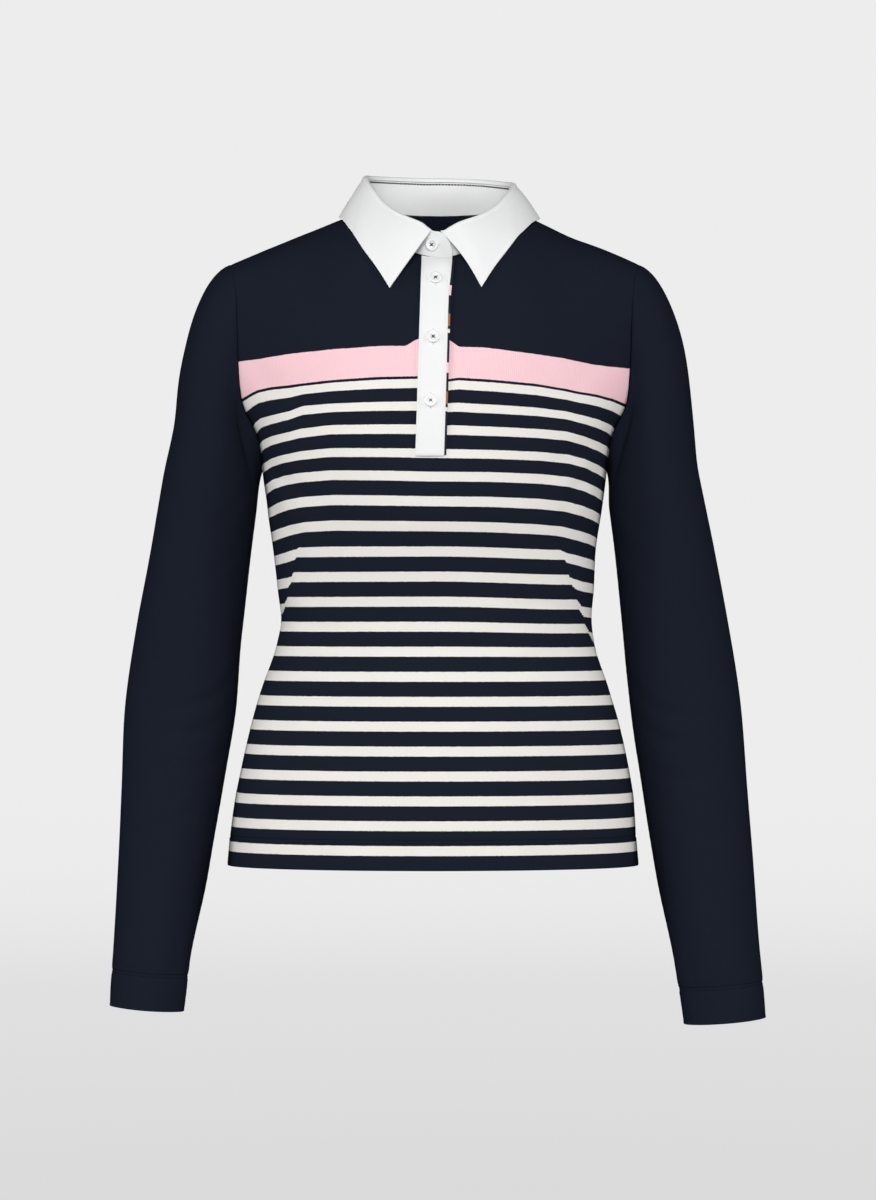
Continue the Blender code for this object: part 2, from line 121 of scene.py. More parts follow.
def spun(profile, sides):
    """A line of (radius, height) points turned once round the Z axis."""
    work = bmesh.new()
    line = [work.verts.new((radius, 0.0, height)) for radius, height in profile]
    edges = [work.edges.new(pair) for pair in zip(line, line[1:])]
    bmesh.ops.spin(work, geom=line + edges, cent=(0, 0, 0), axis=(0, 0, 1), dvec=(0, 0, 0),
                   angle=math.tau, steps=sides, use_merge=True)
    bmesh.ops.remove_doubles(work, verts=work.verts, dist=0.01 * MM)
    bmesh.ops.recalc_face_normals(work, faces=work.faces)
    return work


# The paper's painted light: a glow, dimmer near the shirt and brighter towards the wall.
PAPER_GLOW = [(0.10, 0.69), (0.45, 0.735), (0.85, 0.84)]      # share of the radius, tone

paper = plain_material("studio_paper", (0.02, 0.02, 0.02), 0.95)
tree = paper.node_tree
place = tree.nodes.new("ShaderNodeTexCoord")
away = tree.nodes.new("ShaderNodeVectorMath")
away.operation = "LENGTH"
share = tree.nodes.new("ShaderNodeMath")
share.operation = "DIVIDE"
share.inputs[1].default_value = BOWL[-1][0]
glow_ramp = tree.nodes.new("ShaderNodeValToRGB")
glow_ramp.color_ramp.interpolation = "EASE"
glow_ramp.color_ramp.elements.new(0.5)
for element, (radius, tone) in zip(glow_ramp.color_ramp.elements, PAPER_GLOW):
    element.position = radius
    element.color = (tone, tone, tone, 1.0)
shader = tree.nodes["Principled BSDF"]
tree.links.new(place.outputs["Object"], away.inputs[0])
tree.links.new(away.outputs["Value"], share.inputs[0])
tree.links.new(share.outputs[0], glow_ramp.inputs["Fac"])
tree.links.new(glow_ramp.outputs["Color"], shader.inputs["Emission Color"])
shader.inputs["Emission Strength"].default_value = 1.0
bowl = new_object("studio_bowl", mesh_from(spun([(r, FLOOR + z) for r, z in BOWL], 128),
                                           "studio_bowl"), [paper])
round_off = bowl.modifiers.new("round_off", "SUBSURF")
round_off.levels = round_off.render_levels = 2
bowl.visible_diffuse = bowl.visible_glossy = bowl.visible_shadow = False
print("floor", FLOOR, "m")

# %% [markdown]
# ## Soft light
#
# Dark cloth beside white cloth asks for large, soft lamps: the white keeps its form
# and the navy still shows the turn of a sleeve.  One lamp is in front and one on each
# side of it, a little above the shirt, so the insides of the arms stay dark.  A weak
# one below opens the shadows, and one behind lights the back.

# %% Lamps
Lamp = namedtuple("Lamp", "name place aim size power")
LAMPS = [
    Lamp("left_lamp", (-4.8, -2.1, 1.0), (0.0, 0.0, -0.32), 1.8, 108),
    Lamp("right_lamp", (4.8, -2.1, 1.0), (0.0, 0.0, -0.32), 1.8, 102),
    Lamp("front_lamp", (-0.3, -4.8, 1.3), (0.0, 0.0, -0.28), 2.2, 168),
    Lamp("low_lamp", (0.4, -4.8, -1.4), (0.0, 0.0, -0.5), 1.8, 42),
    Lamp("back_lamp", (0.2, 7.8, -0.1), (0.0, 0.0, -0.35), 2.4, 150),
]
for lamp in LAMPS:
    light = bpy.data.lights.new(lamp.name, "AREA")
    light.size = lamp.size
    light.energy = lamp.power
    holder = bpy.data.objects.new(lamp.name, light)
    holder.location = lamp.place
    aim = Vector(lamp.aim) - Vector(lamp.place)
    holder.rotation_euler = aim.to_track_quat("-Z", "Y").to_euler()
    holder.visible_camera = False
    scene.collection.objects.link(holder)

sky = bpy.data.worlds.new("pale_sky")
sky.use_nodes = True
sky.node_tree.nodes["Background"].inputs["Color"].default_value = (1.0, 1.0, 1.0, 1.0)
sky.node_tree.nodes["Background"].inputs["Strength"].default_value = 0.04
scene.world = sky
print("lamps:", len(LAMPS))

# %% [markdown]
# ## The shirt's measurements
#
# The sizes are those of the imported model, in millimetres, with the origin at the
# middle of the neck base.  A body panel is told by its half width and its depth at
# each height, in the way that a dress form is measured with tape and calliper.

# %% Cloth walls and body sizes
EDGE = 0.985            # a narrow strip along each side
WALL = 1.4              # body and sleeve cloth
HEM_WALL = 2.4          # where the cloth is turned up and stitched
BAND_WALL = 1.6         # collar and placket cloth
SEAM = 0.28             # each panel stops this short of its seam line
STAND_GAP = 0.6         # the collar stand stands this far above the neck seam
LEAF_GAP = 0.5          # and the leaf above the stand
LIFT = 0.35             # what lies on a panel stands this far off it

HEM_HEIGHT = -579.0
CHEST_HEIGHT = -230.0   # underarm level, where the chest is deepest
BODY_HEM = 25.0
HALF_PANEL = 215.0      # millimetres across half a panel, for its map
FRONT_FULLNESS = 0.84   # below 1 the section is fuller than an ellipse
BACK_FULLNESS = 0.9

Section = namedtuple("Section", "height centre half_width front_depth back_depth")
BODY = [
    Section(-579, -4.4, 182.3, 104, 110),
    Section(-548, -4.2, 179.0, 103, 110),
    Section(-512, -3.0, 174.8, 102, 107),
    Section(-460, -2.4, 164.2, 99, 97),
    Section(-425, -2.6, 154.0, 96, 87),
    Section(-390, -2.2, 142.0, 93, 79),
    Section(-363, -1.6, 137.5, 93, 76),
    Section(-336, -1.9, 139.8, 96, 78),
    Section(-301, -3.1, 142.6, 104, 84),
    Section(-265, -2.9, 147.8, 114, 92),
    Section(-230, -3.1, 152.5, 118, 98),
]

NECK_CENTRE = 1.3
NECK_HALF_WIDTH = 64.0
NECK_FRONT_DEPTH = 66.0
NECK_BACK_DEPTH = 54.0
NECK_FRONT_DROP = 47.2
NECK_BACK_DROP = 2.0
SHOULDER_CENTRE = -3.1
SHOULDER_HALF_WIDTH = 181.0
SHOULDER_DROP = 48.7
NECK_SHARE = 0.40       # share of a half panel's top edge that is neck
NECK_ROUNDING = 0.50    # 0 rises straight to the neck, 1 rolls over to level
SHOULDER_ROUNDING = 1.0
NECK_SPREAD = 0.62      # below the seam the neck's hollow spreads out this far,
NECK_HOLD = 4           # and its sharp line is lost this fast
FRONT_LEAN = -0.004     # the centre front leans to the wearer's right
ACROSS_SPAN = 250.0     # more than one unit of across and of climb measure on the
CLIMB_SPAN = 260.0      # upper front, which keeps the search for a place on it steady

Armhole = namedtuple("Armhole", "rise half_width front_reach back_reach")
ARMHOLE = [
    Armhole(0.00, 152.5, 0, 0),
    Armhole(0.10, 156.0, 24, 24),
    Armhole(0.20, 168.0, 38, 40),
    Armhole(0.32, 171.0, 47, 50),
    Armhole(0.48, 172.3, 50, 56),
    Armhole(0.65, 174.0, 46, 54),
    Armhole(0.82, 177.6, 31, 37),
    Armhole(1.00, 181.0, 0, 0),
]
ARMHOLE_GAP = 0.25      # sleeve from body, across the seam
ARMHOLE_FADE = 6        # how fast the armhole's scoop fades into the panel

print("body rows:", len(BODY), "armhole rows:", len(ARMHOLE))

# %% [markdown]
# A table has few rows, and the cloth between them is smooth.  So a value is read from
# it along a curve that passes through every row with a steady slope.

# %% Reading a table
def mix(low, high, share):
    return low + (high - low) * share


def ease(share):
    """0 to 1 with level ends."""
    share = min(max(share, 0.0), 1.0)
    return share * share * (3 - 2 * share)


def dent(distance, width):
    """1 in the middle, and nearly 0 from two widths away."""
    return math.exp(-(distance / width) ** 2)


def smooth(rows, key, column, place):
    """One column of a table, read as a smooth curve at a place on its key column."""
    keys = [getattr(row, key) for row in rows]
    values = [getattr(row, column) for row in rows]
    last = len(rows) - 1
    place = min(max(place, keys[0]), keys[last])
    low = max(i for i in range(last) if keys[i] <= place)

    def slope(i):
        before, after = max(i - 1, 0), min(i + 1, last)
        return (values[after] - values[before]) / (keys[after] - keys[before])

    span = keys[low + 1] - keys[low]
    t = (place - keys[low]) / span
    return ((1 + 2 * t) * (1 - t) ** 2 * values[low]
            + t * (1 - t) ** 2 * span * slope(low)
            + t * t * (3 - 2 * t) * values[low + 1]
            + t * t * (t - 1) * span * slope(low + 1))


def steps(low, high, count):
    return [mix(low, high, i / count) for i in range(count + 1)]


# %% [markdown]
# ## The body's form
#
# Each panel is a function from two numbers to a point.  One number goes across the
# panel and the other climbs it: from hem to chest it follows the table of rings, and
# above the chest it rolls over to the shoulder seam and the neck.  Anything that is
# laid on the shirt later asks the same function where the cloth is.

# %% Body panels
def neck_line(turn):
    """Neck seam; the turn is in degrees from the centre front."""
    angle = math.radians(turn)
    ahead = math.cos(angle)
    if ahead > 0:
        depth, drop = -NECK_FRONT_DEPTH, NECK_FRONT_DROP * ahead ** 1.5
    else:
        depth, drop = -NECK_BACK_DEPTH, NECK_BACK_DROP * abs(ahead) ** 1.5
    return Vector((NECK_CENTRE + NECK_HALF_WIDTH * math.sin(angle), depth * ahead, -drop))


def neck_turn(x):
    return math.degrees(math.asin((x - NECK_CENTRE) / NECK_HALF_WIDTH))


def body_form(side, across, climb):
    """Outer face of the body: side -1 is the front and 1 the back, across runs from
    -1 to 1, and climb from 0 at the hem through 1 at the chest to 2 at the top."""
    if side < 0:
        across += FRONT_LEAN * min(climb, 1.0) * (1 - across * across) ** 2
    turn = across * math.pi / 2
    column = "front_depth" if side < 0 else "back_depth"
    ahead = max(math.cos(turn), 0.0) ** (FRONT_FULLNESS if side < 0 else BACK_FULLNESS)
    height = mix(HEM_HEIGHT, CHEST_HEIGHT, min(climb, 1.0))
    half = smooth(BODY, "height", "half_width", height)
    depth = smooth(BODY, "height", column, height)
    low = Vector((smooth(BODY, "height", "centre", height) + half * math.sin(turn),
                  side * depth * ahead, height))
    if climb <= 1:
        return low

    rise = climb - 1
    reach = abs(across)
    way = 1 if across > 0 else -1
    if reach <= NECK_SHARE:
        angle = 90 * across / NECK_SHARE
        top = neck_line(angle if side < 0 else 180 - angle)
    else:
        out = (reach - NECK_SHARE) / (1 - NECK_SHARE)
        point = Vector((SHOULDER_CENTRE + way * SHOULDER_HALF_WIDTH, 0, -SHOULDER_DROP))
        top = neck_line(90 * way).lerp(point, out)
    rounding = mix(NECK_ROUNDING, SHOULDER_ROUNDING, ease(reach / NECK_SHARE))
    swing = rise * math.pi / 2
    up = mix(rise, math.sin(swing), rounding)
    back = mix(rise ** 1.5, 1 - math.cos(swing), rounding)
    fade = reach ** ARMHOLE_FADE
    neck_depth, neck_drop = ((NECK_FRONT_DEPTH, NECK_FRONT_DROP) if side < 0
                             else (NECK_BACK_DEPTH, NECK_BACK_DROP))
    spread = (SHOULDER_CENTRE + SHOULDER_HALF_WIDTH * across,
              side * neck_depth * max(1 - (reach / NECK_SPREAD) ** 2, 0.0) ** 2,
              -neck_drop * (1 - ease(reach / 0.5)) - SHOULDER_DROP * reach * reach)
    top = Vector(spread).lerp(top, rise ** NECK_HOLD)
    armhole_half = smooth(ARMHOLE, "rise", "half_width", rise)
    armhole_reach = smooth(ARMHOLE, "rise", "front_reach" if side < 0 else "back_reach", rise)
    widen = armhole_half - mix(ARMHOLE[0].half_width, SHOULDER_HALF_WIDTH, up)
    return Vector((mix(low.x, top.x, up) + way * widen * fade,
                   mix(low.y, top.y, back) + side * armhole_reach * (1 - ahead),
                   mix(low.z, top.z, up)))


print("shoulder point", tuple(round(v) for v in body_form(-1, 1, 2)))

# %% [markdown]
# The placket and its buttons are placed as they are seen, by x and height.  A few
# steps of correction find the place on the panel, and its normal lifts them off it.

# %% Places on the front
def front_place(x, height):
    """Across and climb of the front above the chest, for a place seen from the front."""
    across, climb = 0.0, 1.5
    for _ in range(60):
        here = body_form(-1, across, climb)
        across += (x - here.x) / ACROSS_SPAN
        climb += (height - here.z) / CLIMB_SPAN
        climb = min(max(climb, 1.0), 2.0)
        if abs(x - here.x) + abs(height - here.z) < 0.005:
            break
    return across, climb


def front_normal(across, climb):
    step = 0.01
    climb = min(climb, 2 - step)
    right = body_form(-1, across + step, climb) - body_form(-1, across - step, climb)
    up = body_form(-1, across, climb + step) - body_form(-1, across, climb - step)
    return right.cross(up).normalized()


def on_front(x, height, off):
    """A point off the front panel's outer face, along its normal."""
    across, climb = front_place(x, height)
    return body_form(-1, across, climb) + front_normal(across, climb) * (off + SEAM)


print("chest place:", [round(v, 3) for v in front_place(0.0, CHEST_HEIGHT + 20)])

# %% [markdown]
# ## Sleeves
#
# A sleeve is a row of rings that lean forward towards the wrist, as a relaxed arm
# does.  At the top a curve joins the last ring to the armhole: it leaves the shoulder
# sideways and the underarm steeply, which is the shape of a sleeve cap.

# %% Sleeve sizes and form
SleeveRing = namedtuple("SleeveRing", "height centre half_width forward half_depth")
SLEEVE_RIGHT = [
    SleeveRing(-703, -255.6, 32.7, 34, 31),
    SleeveRing(-686, -254.2, 33.6, 32, 32),
    SleeveRing(-652, -250.9, 34.3, 28, 34),
    SleeveRing(-584, -242.5, 39.8, 15, 39),
    SleeveRing(-513, -235.4, 44.4, 2, 43),
    SleeveRing(-442, -228.3, 48.8, -6, 45),
    SleeveRing(-372, -220.4, 46.8, -8, 47),
    SleeveRing(-301, -209.7, 44.2, -6, 49),
    SleeveRing(-262, -204.0, 43.2, -3, 50),
]
SLEEVE_LEFT = [
    SleeveRing(-714, 251.2, 36.3, 34, 32),
    SleeveRing(-688, 248.6, 37.2, 31, 33),
    SleeveRing(-652, 244.3, 38.3, 27, 35),
    SleeveRing(-584, 235.0, 42.9, 15, 40),
    SleeveRing(-513, 227.4, 46.0, 2, 44),
    SleeveRing(-442, 219.5, 48.8, -6, 46),
    SleeveRing(-372, 210.6, 46.9, -8, 47),
    SleeveRing(-301, 200.5, 43.8, -6, 49),
    SleeveRing(-262, 194.2, 42.4, -3, 50),
]
SLEEVE_HEM = 31.0
CUFF_TILT = 0.08        # the cuff is lower on the inside of the arm
CAP_OUT = Vector((0.93, 0.0, -0.37))        # way the cloth leaves the shoulder point
UNDERARM_OUT = Vector((0.30, 0.0, -0.95))   # and the underarm
CAP_PULL = 0.20
UNDERARM_PULL = 0.30
ARM_PULL = 0.33


def sleeve_ring(rows, arm, height, turn):
    """Round the arm, from its inner side by way of the front; the turn is in radians."""
    centre = smooth(rows, "height", "centre", height)
    inward = smooth(rows, "height", "half_width", height) * math.cos(turn)
    forward = smooth(rows, "height", "forward", height)
    depth = smooth(rows, "height", "half_depth", height)
    return Vector((centre - arm * inward, -forward - depth * math.sin(turn),
                   height - CUFF_TILT * inward))


def upper_rise(share):
    """Rows above the chest crowd towards the shoulder seam, where the cloth bends most."""
    return 1 - (1 - share) ** 1.5


def sleeve_form(rows, arm, place, along):
    """place runs 0 to 2 round the armhole, from the underarm over the front to the
    shoulder point at 1; along runs 0 to 1 down the cap and 1 to 2 down the arm."""
    side = -1 if place <= 1 else 1
    turn = place * math.pi
    top = rows[-1].height
    if along > 1:
        return sleeve_ring(rows, arm, mix(top, rows[0].height, along - 1), turn)
    rise = upper_rise(place if place <= 1 else 2 - place)
    start = body_form(side, arm, 1 + rise) + Vector((arm * ARMHOLE_GAP, 0, 0))
    end = sleeve_ring(rows, arm, top, turn)
    above = (1 - math.cos(turn)) / 2
    out = UNDERARM_OUT.lerp(CAP_OUT, above)
    out.x *= arm
    up = (end - sleeve_ring(rows, arm, top - 20, turn)).normalized()
    reach = (end - start).length
    leave = start + out.normalized() * reach * mix(UNDERARM_PULL, CAP_PULL, above)
    arrive = end + up * reach * ARM_PULL
    t, s = along, 1 - along
    return start * s ** 3 + leave * 3 * s * s * t + arrive * 3 * s * t * t + end * t ** 3


print("cuff heights", SLEEVE_RIGHT[0].height, SLEEVE_LEFT[0].height)

# %% [markdown]
# ## Collar
#
# A shirt collar is two pieces.  The stand is a band that rises from the neck seam and
# closes in front.  The leaf starts inside it, rolls over its top and falls to the
# body, so its free edge is given as a line on the body.

# %% Collar sizes and forms
# The turn is in degrees from the centre front.  The leaf rises by the roll over the
# stand, and then folds over this far outwards.
CollarTop = namedtuple("CollarTop", "turn stand_top roll fold")
COLLAR_TOPS = [
    CollarTop(0, -25.2, 0.3, 5.4),
    CollarTop(5, -25.1, 0.3, 5.4),
    CollarTop(15, -19.3, 0.4, 5.5),
    CollarTop(33, -11.4, 0.5, 5.7),
    CollarTop(48, -2.5, 0.5, 5.9),
    CollarTop(62, 8.1, 0.6, 6.1),
    CollarTop(76, 16.7, 0.6, 6.2),
    CollarTop(90, 22.4, 0.6, 6.2),
    CollarTop(120, 25.8, 0.6, 6.2),
    CollarTop(150, 28.1, 0.6, 6.2),
    CollarTop(180, 28.9, 0.6, 6.2),
]
COLLAR_TILT = 3.2       # the collar is higher by this at the wearer's right
# The leaf's edge is a place on the body; past a climb of 2 it lies behind the shoulder.
CollarEdge = namedtuple("CollarEdge", "turn across climb")
COLLAR_EDGES = [
    CollarEdge(0, 0.202, 1.622),
    CollarEdge(33, 0.266, 1.660),
    CollarEdge(62, 0.358, 1.705),
    CollarEdge(76, 0.430, 1.780),
    CollarEdge(90, 0.505, 1.950),
    CollarEdge(120, 0.450, 2.105),
    CollarEdge(150, 0.250, 2.130),
    CollarEdge(180, 0.000, 2.140),
]
OVERLAP = 2.6           # the closing end of the stand lies this far outside the other,
OVERLAP_START = -60.0   # and moves out there between these turns
OVERLAP_FULL = -15.0
OVER_END = 9.6          # degrees past the centre front
UNDER_END = -371.0
UNDER_START = -343.0    # from here the inner end moves in below the closing one
UNDER_DROP = 3.2
UNDER_SPAN = 18.0
ROUND_START = -1.4      # the closing end is rounded off from here
ROUND_SPAN = 11.2
LEAF_START = 6.0        # degrees from the centre front to the leaf's front edges
LEAF_END = 0.9
LEAF_LEAN = 0.006       # both points lie a little towards the wearer's left
LEAF_OFF = 1.4          # the leaf's edge from the body
LEAF_BOW = 2.5          # how far the fall of the leaf bows out
SIDE_BOW = (-2.4, -1.2)  # and how much less beside the neck, right and left
LEAF_WIDE = 0.022       # the left side lies further out on the shoulder,
WIDE_TURN = 95.0        # most at this turn
WIDE_REACH = 32.0
END_BOW = 3.4           # the left front edge curves out by this,
END_BOW_REACH = 30.0    # which is lost this many degrees away
END_FOLD = 0.35         # at its ends the fold has this share of its height,
END_FOLD_REACH = 7.0    # and all of it this many degrees away


def collar_value(rows, column, turn):
    return smooth(rows, "turn", column, min(abs(turn), 360 - abs(turn)))


def stand_form(turn, share):
    """Outer face of the stand.  The turn falls from the closing end, round by the
    wearer's right and the back, to the inner end; share goes up from 0 to 1."""
    out = OVERLAP * ease((turn - OVERLAP_START) / (OVERLAP_FULL - OVERLAP_START))
    out -= UNDER_DROP * ease((UNDER_START - turn) / UNDER_SPAN)
    base = neck_line(turn)
    ahead = Vector((base.x - NECK_CENTRE, base.y, 0)).normalized()
    base = base + ahead * out + Vector((0, 0, STAND_GAP))
    side = math.sin(math.radians(turn))
    height = collar_value(COLLAR_TOPS, "stand_top", turn) - base.z
    height -= COLLAR_TILT * side * abs(side)
    past = (turn - ROUND_START) / ROUND_SPAN
    if past > 0:
        height *= math.sqrt(max(1 - past * past, 0.03))
    return base + Vector((0, 0, height * share))


def over_shoulder(across, climb):
    """Front up to a climb of 2, and on down the back."""
    if climb <= 2:
        return body_form(-1, across, climb)
    return body_form(1, across, 4 - climb)


def leaf_edge(turn):
    """Edge of the leaf, laid on the body."""
    way, start = (1, LEAF_END) if turn < -180 else (-1, LEAF_START)
    turn = 180 * (min(-turn, 360 + turn) - start) / (180 - start)
    across = way * collar_value(COLLAR_EDGES, "across", turn)
    across += LEAF_LEAN * max(math.cos(math.radians(turn)), 0.0)
    across += LEAF_WIDE * dent(turn - WIDE_TURN, WIDE_REACH) * (way > 0)
    climb = collar_value(COLLAR_EDGES, "climb", turn)
    step = 0.01
    right = over_shoulder(across + step, climb) - over_shoulder(across - step, climb)
    up = over_shoulder(across, climb + step) - over_shoulder(across, climb - step)
    normal = right.cross(up).normalized()
    return over_shoulder(across, climb) + normal * (LEAF_OFF + BAND_WALL)


def leaf_form(turn, share):
    """Upper face of the leaf: share runs from 0 at the top of the stand, over the fold
    to 1, and on to 2 at the edge; the turn falls as on the stand."""
    top = stand_form(turn, 1) + Vector((0, 0, LEAF_GAP))
    ahead = Vector((top.x - NECK_CENTRE, top.y, 0)).normalized()
    inner = top - ahead * BAND_WALL
    if share <= 0:
        return inner
    crown = inner + Vector((0, 0, collar_value(COLLAR_TOPS, "roll", turn)))
    fold = collar_value(COLLAR_TOPS, "fold", turn)
    radius = fold / 2
    if share < 1:
        swing = math.pi * share
        ends = min(abs(turn + LEAF_START), abs(turn + 360 - LEAF_END))
        flat = mix(END_FOLD, 1.0, ease(ends / END_FOLD_REACH))
        return (crown + ahead * radius * (1 - math.cos(swing))
                + Vector((0, 0, radius * flat * math.sin(swing))))
    down = share - 1
    side = SIDE_BOW[turn < -180] * math.sin(math.radians(turn)) ** 4
    bow = ahead * (LEAF_BOW + side) * math.sin(math.pi * down ** 0.7)
    ends = turn + 360 - LEAF_END
    bow.x += END_BOW * ease(1 - ends / END_BOW_REACH) * math.sin(math.pi * down ** 0.8)
    return (crown + ahead * fold).lerp(leaf_edge(turn), down) + bow


print("collar rows:", len(COLLAR_TOPS), len(COLLAR_EDGES))

# %% [markdown]
# ## Placket and button sizes
#
# The placket is a straight white band a little under an inch wide.  It leans slightly
# to the wearer's right on its way down, and four buttons close it.

# %% Placket and button sizes
PLACKET_WIDTH = 24.2
PLACKET_TOP_GAP = 1.2     # below the neck seam
PLACKET_FOOT = -221.5
PLACKET_LENGTH = 172.0
PLACKET_TOP_X = -2.0
PLACKET_FOOT_X = -7.1
CUT_OUT = 0.050         # half width of the opening, as a share of the half panel
UNDER_INSET = 0.0014    # the piece in the opening is smaller by this share each side
BUTTON_SEAT = 0.1       # the back of a sewn button from the cloth
BUTTON_TOP = 1.78       # and the thread that crosses on its face
Button = namedtuple("Button", "name x height")
STAND_BUTTON = Button("button_collar", -5.2, -36.2)
PLACKET_BUTTONS = [
    Button("button_1", -2.1, -67.2),
    Button("button_2", -4.1, -118.8),
    Button("button_3", -6.2, -173.9),
]

print("buttons:", 1 + len(PLACKET_BUTTONS))

# %% [markdown]
# ## Finishes
#
# Knitted cloth, woven cotton, thread and button resin are all built from nodes.  What
# several finishes share goes into a node group with named sockets, made once.  The
# patterns read a map of each cloth piece, called "knit", whose numbers are
# millimetres across and along the cloth, so a loop has its real size everywhere.

# %% A helper for node graphs
class Graph:
    """Adds nodes to a tree, and links or sets their sockets in one go."""

    def __init__(self, tree):
        self.tree = tree

    def feed(self, socket, value):
        if isinstance(value, bpy.types.NodeSocket):
            self.tree.links.new(value, socket)
        else:
            socket.default_value = value

    def node(self, kind, settings=None, **sockets):
        node = self.tree.nodes.new(kind)
        for key, value in (settings or {}).items():
            setattr(node, key, value)
        for key, value in sockets.items():
            self.feed(node.inputs[key.replace("_", " ")], value)
        return node

    def math(self, operation, *values):
        node = self.node("ShaderNodeMath", {"operation": operation})
        for socket, value in zip(node.inputs, values):
            self.feed(socket, value)
        return node.outputs[0]

    def blend(self, share, low, high):
        node = self.node("ShaderNodeMix", {"data_type": "RGBA"})
        for name, value in (("Factor_Float", share), ("A_Color", low), ("B_Color", high)):
            socket = next(s for s in node.inputs if s.identifier == name)
            self.feed(socket, value)
        return next(s for s in node.outputs if s.identifier == "Result_Color")

    def noise(self, vector, scale, detail=2.0):
        return self.node("ShaderNodeTexNoise", Vector=vector, Scale=scale,
                         Detail=detail).outputs["Fac"]


def start_group(name, inputs, outputs):
    """A new shader group: inputs are (name, kind, value), outputs (name, kind)."""
    tree = bpy.data.node_groups.new(name, "ShaderNodeTree")
    for label, kind, value in inputs:
        socket = tree.interface.new_socket(label, in_out="INPUT", socket_type=kind)
        if value is not None:
            socket.default_value = value
    for label, kind in outputs:
        tree.interface.new_socket(label, in_out="OUTPUT", socket_type=kind)
    graph = Graph(tree)
    return graph, graph.node("NodeGroupInput").outputs, graph.node("NodeGroupOutput").inputs


def add_group(graph, group, **sockets):
    node = graph.node("ShaderNodeGroup", {"node_tree": group})
    for key, value in sockets.items():
        graph.feed(node.inputs[key.replace("_", " ")], value)
    return node.outputs


FLOAT, VECTOR = "NodeSocketFloat", "NodeSocketVector"
print("graph helper ready")

# %% [markdown]
# ### The loops of jersey
#
# Plain jersey shows columns of small V shapes.  Across one column the row line is
# bent into a V by the distance from the column's middle, and a cosine makes the
# thread rise and fall.  Close up this is the cloth; from afar it only softens it.

# %% Group: jersey loops
graph, given, result = start_group(
    "jersey_loops",
    [("Across", FLOAT, 0.0), ("Along", FLOAT, 0.0), ("Column", FLOAT, 1.25), ("Row", FLOAT, 1.0)],
    [("Height", FLOAT)])
place = graph.math("FRACT", graph.math("DIVIDE", given["Across"], given["Column"]))
arm = graph.math("ABSOLUTE", graph.math("SUBTRACT", place, 0.5))
bent = graph.math("ADD", graph.math("DIVIDE", given["Along"], given["Row"]), arm)
thread = graph.math("COSINE", graph.math("MULTIPLY", bent, math.tau))
valley = graph.math("SINE", graph.math("MULTIPLY", arm, math.tau))
graph.feed(result["Height"], graph.math("MULTIPLY_ADD", thread, 0.3, valley))
jersey_loops = graph.tree
print("group", jersey_loops.name)

# %% [markdown]
# ### Fine ribs
#
# The plain chest and the pink band are knitted with fine upright ribs.  They are
# rounded ridges with a narrow groove between, so the groove is a power of a cosine.
# The groove output is painted shade: it darkens the colour along each groove.

# %% Group: fine ribs
graph, given, result = start_group(
    "fine_ribs", [("Across", FLOAT, 0.0), ("Pitch", FLOAT, 1.9)],
    [("Height", FLOAT), ("Groove Shade", FLOAT)])
turn = graph.math("MULTIPLY", graph.math("DIVIDE", given["Across"], given["Pitch"]), math.tau)
wave = graph.math("MULTIPLY_ADD", graph.math("COSINE", turn), 0.5, 0.5)
graph.feed(result["Height"], graph.math("POWER", wave, 0.6))
graph.feed(result["Groove Shade"], graph.math("POWER", graph.math("SUBTRACT", 1.0, wave), 3.0))
fine_ribs = graph.tree
print("group", fine_ribs.name)

# %% [markdown]
# ### Cloth tone
#
# No dyed cloth is one even colour.  A broad, faint cloud changes the tone over a hand's
# breadth, and a fine one stands for the fuzz of the yarn.  Both are read in the
# shirt's own space, so neighbouring pieces share them.

# %% Group: cloth tone
graph, given, result = start_group(
    "cloth_tone", [("Place", VECTOR, None), ("Cloud", FLOAT, 0.08), ("Fuzz", FLOAT, 0.15)],
    [("Tone", FLOAT), ("Grain", FLOAT)])
cloud = graph.math("MULTIPLY", graph.math("SUBTRACT", graph.noise(given["Place"], 11.0), 0.5),
                   given["Cloud"])
grain = graph.noise(given["Place"], 1300.0, 1.0)
fuzz = graph.math("MULTIPLY", graph.math("SUBTRACT", grain, 0.5), given["Fuzz"])
graph.feed(result["Tone"], graph.math("ADD", 1.0, graph.math("ADD", cloud, fuzz)))
graph.feed(result["Grain"], grain)
cloth_tone = graph.tree
print("group", cloth_tone.name)

# %% [markdown]
# ### Starting a material
#
# Every finish starts alike: a Principled shader, the map "knit" split into across and
# along, and the cloth tone.  Numbers that hold for the whole surface are set on the
# shader itself.

# %% Starting a material
Cloth = namedtuple("Cloth", "material graph shader across along tone grain")


def start_cloth(name, roughness, specular, cloud=0.08, fuzz=0.15):
    material = bpy.data.materials.new(name)
    material.use_nodes = True
    graph = Graph(material.node_tree)
    shader = material.node_tree.nodes["Principled BSDF"]
    shader.inputs["Roughness"].default_value = roughness
    shader.inputs["Specular IOR Level"].default_value = specular
    pattern = graph.node("ShaderNodeUVMap", {"uv_map": "knit"}).outputs["UV"]
    split = graph.node("ShaderNodeSeparateXYZ", Vector=pattern).outputs
    place = graph.node("ShaderNodeTexCoord").outputs["Object"]
    tone = add_group(graph, cloth_tone, Place=place, Cloud=cloud, Fuzz=fuzz)
    return Cloth(material, graph, shader, split["X"], split["Y"], tone["Tone"], tone["Grain"])


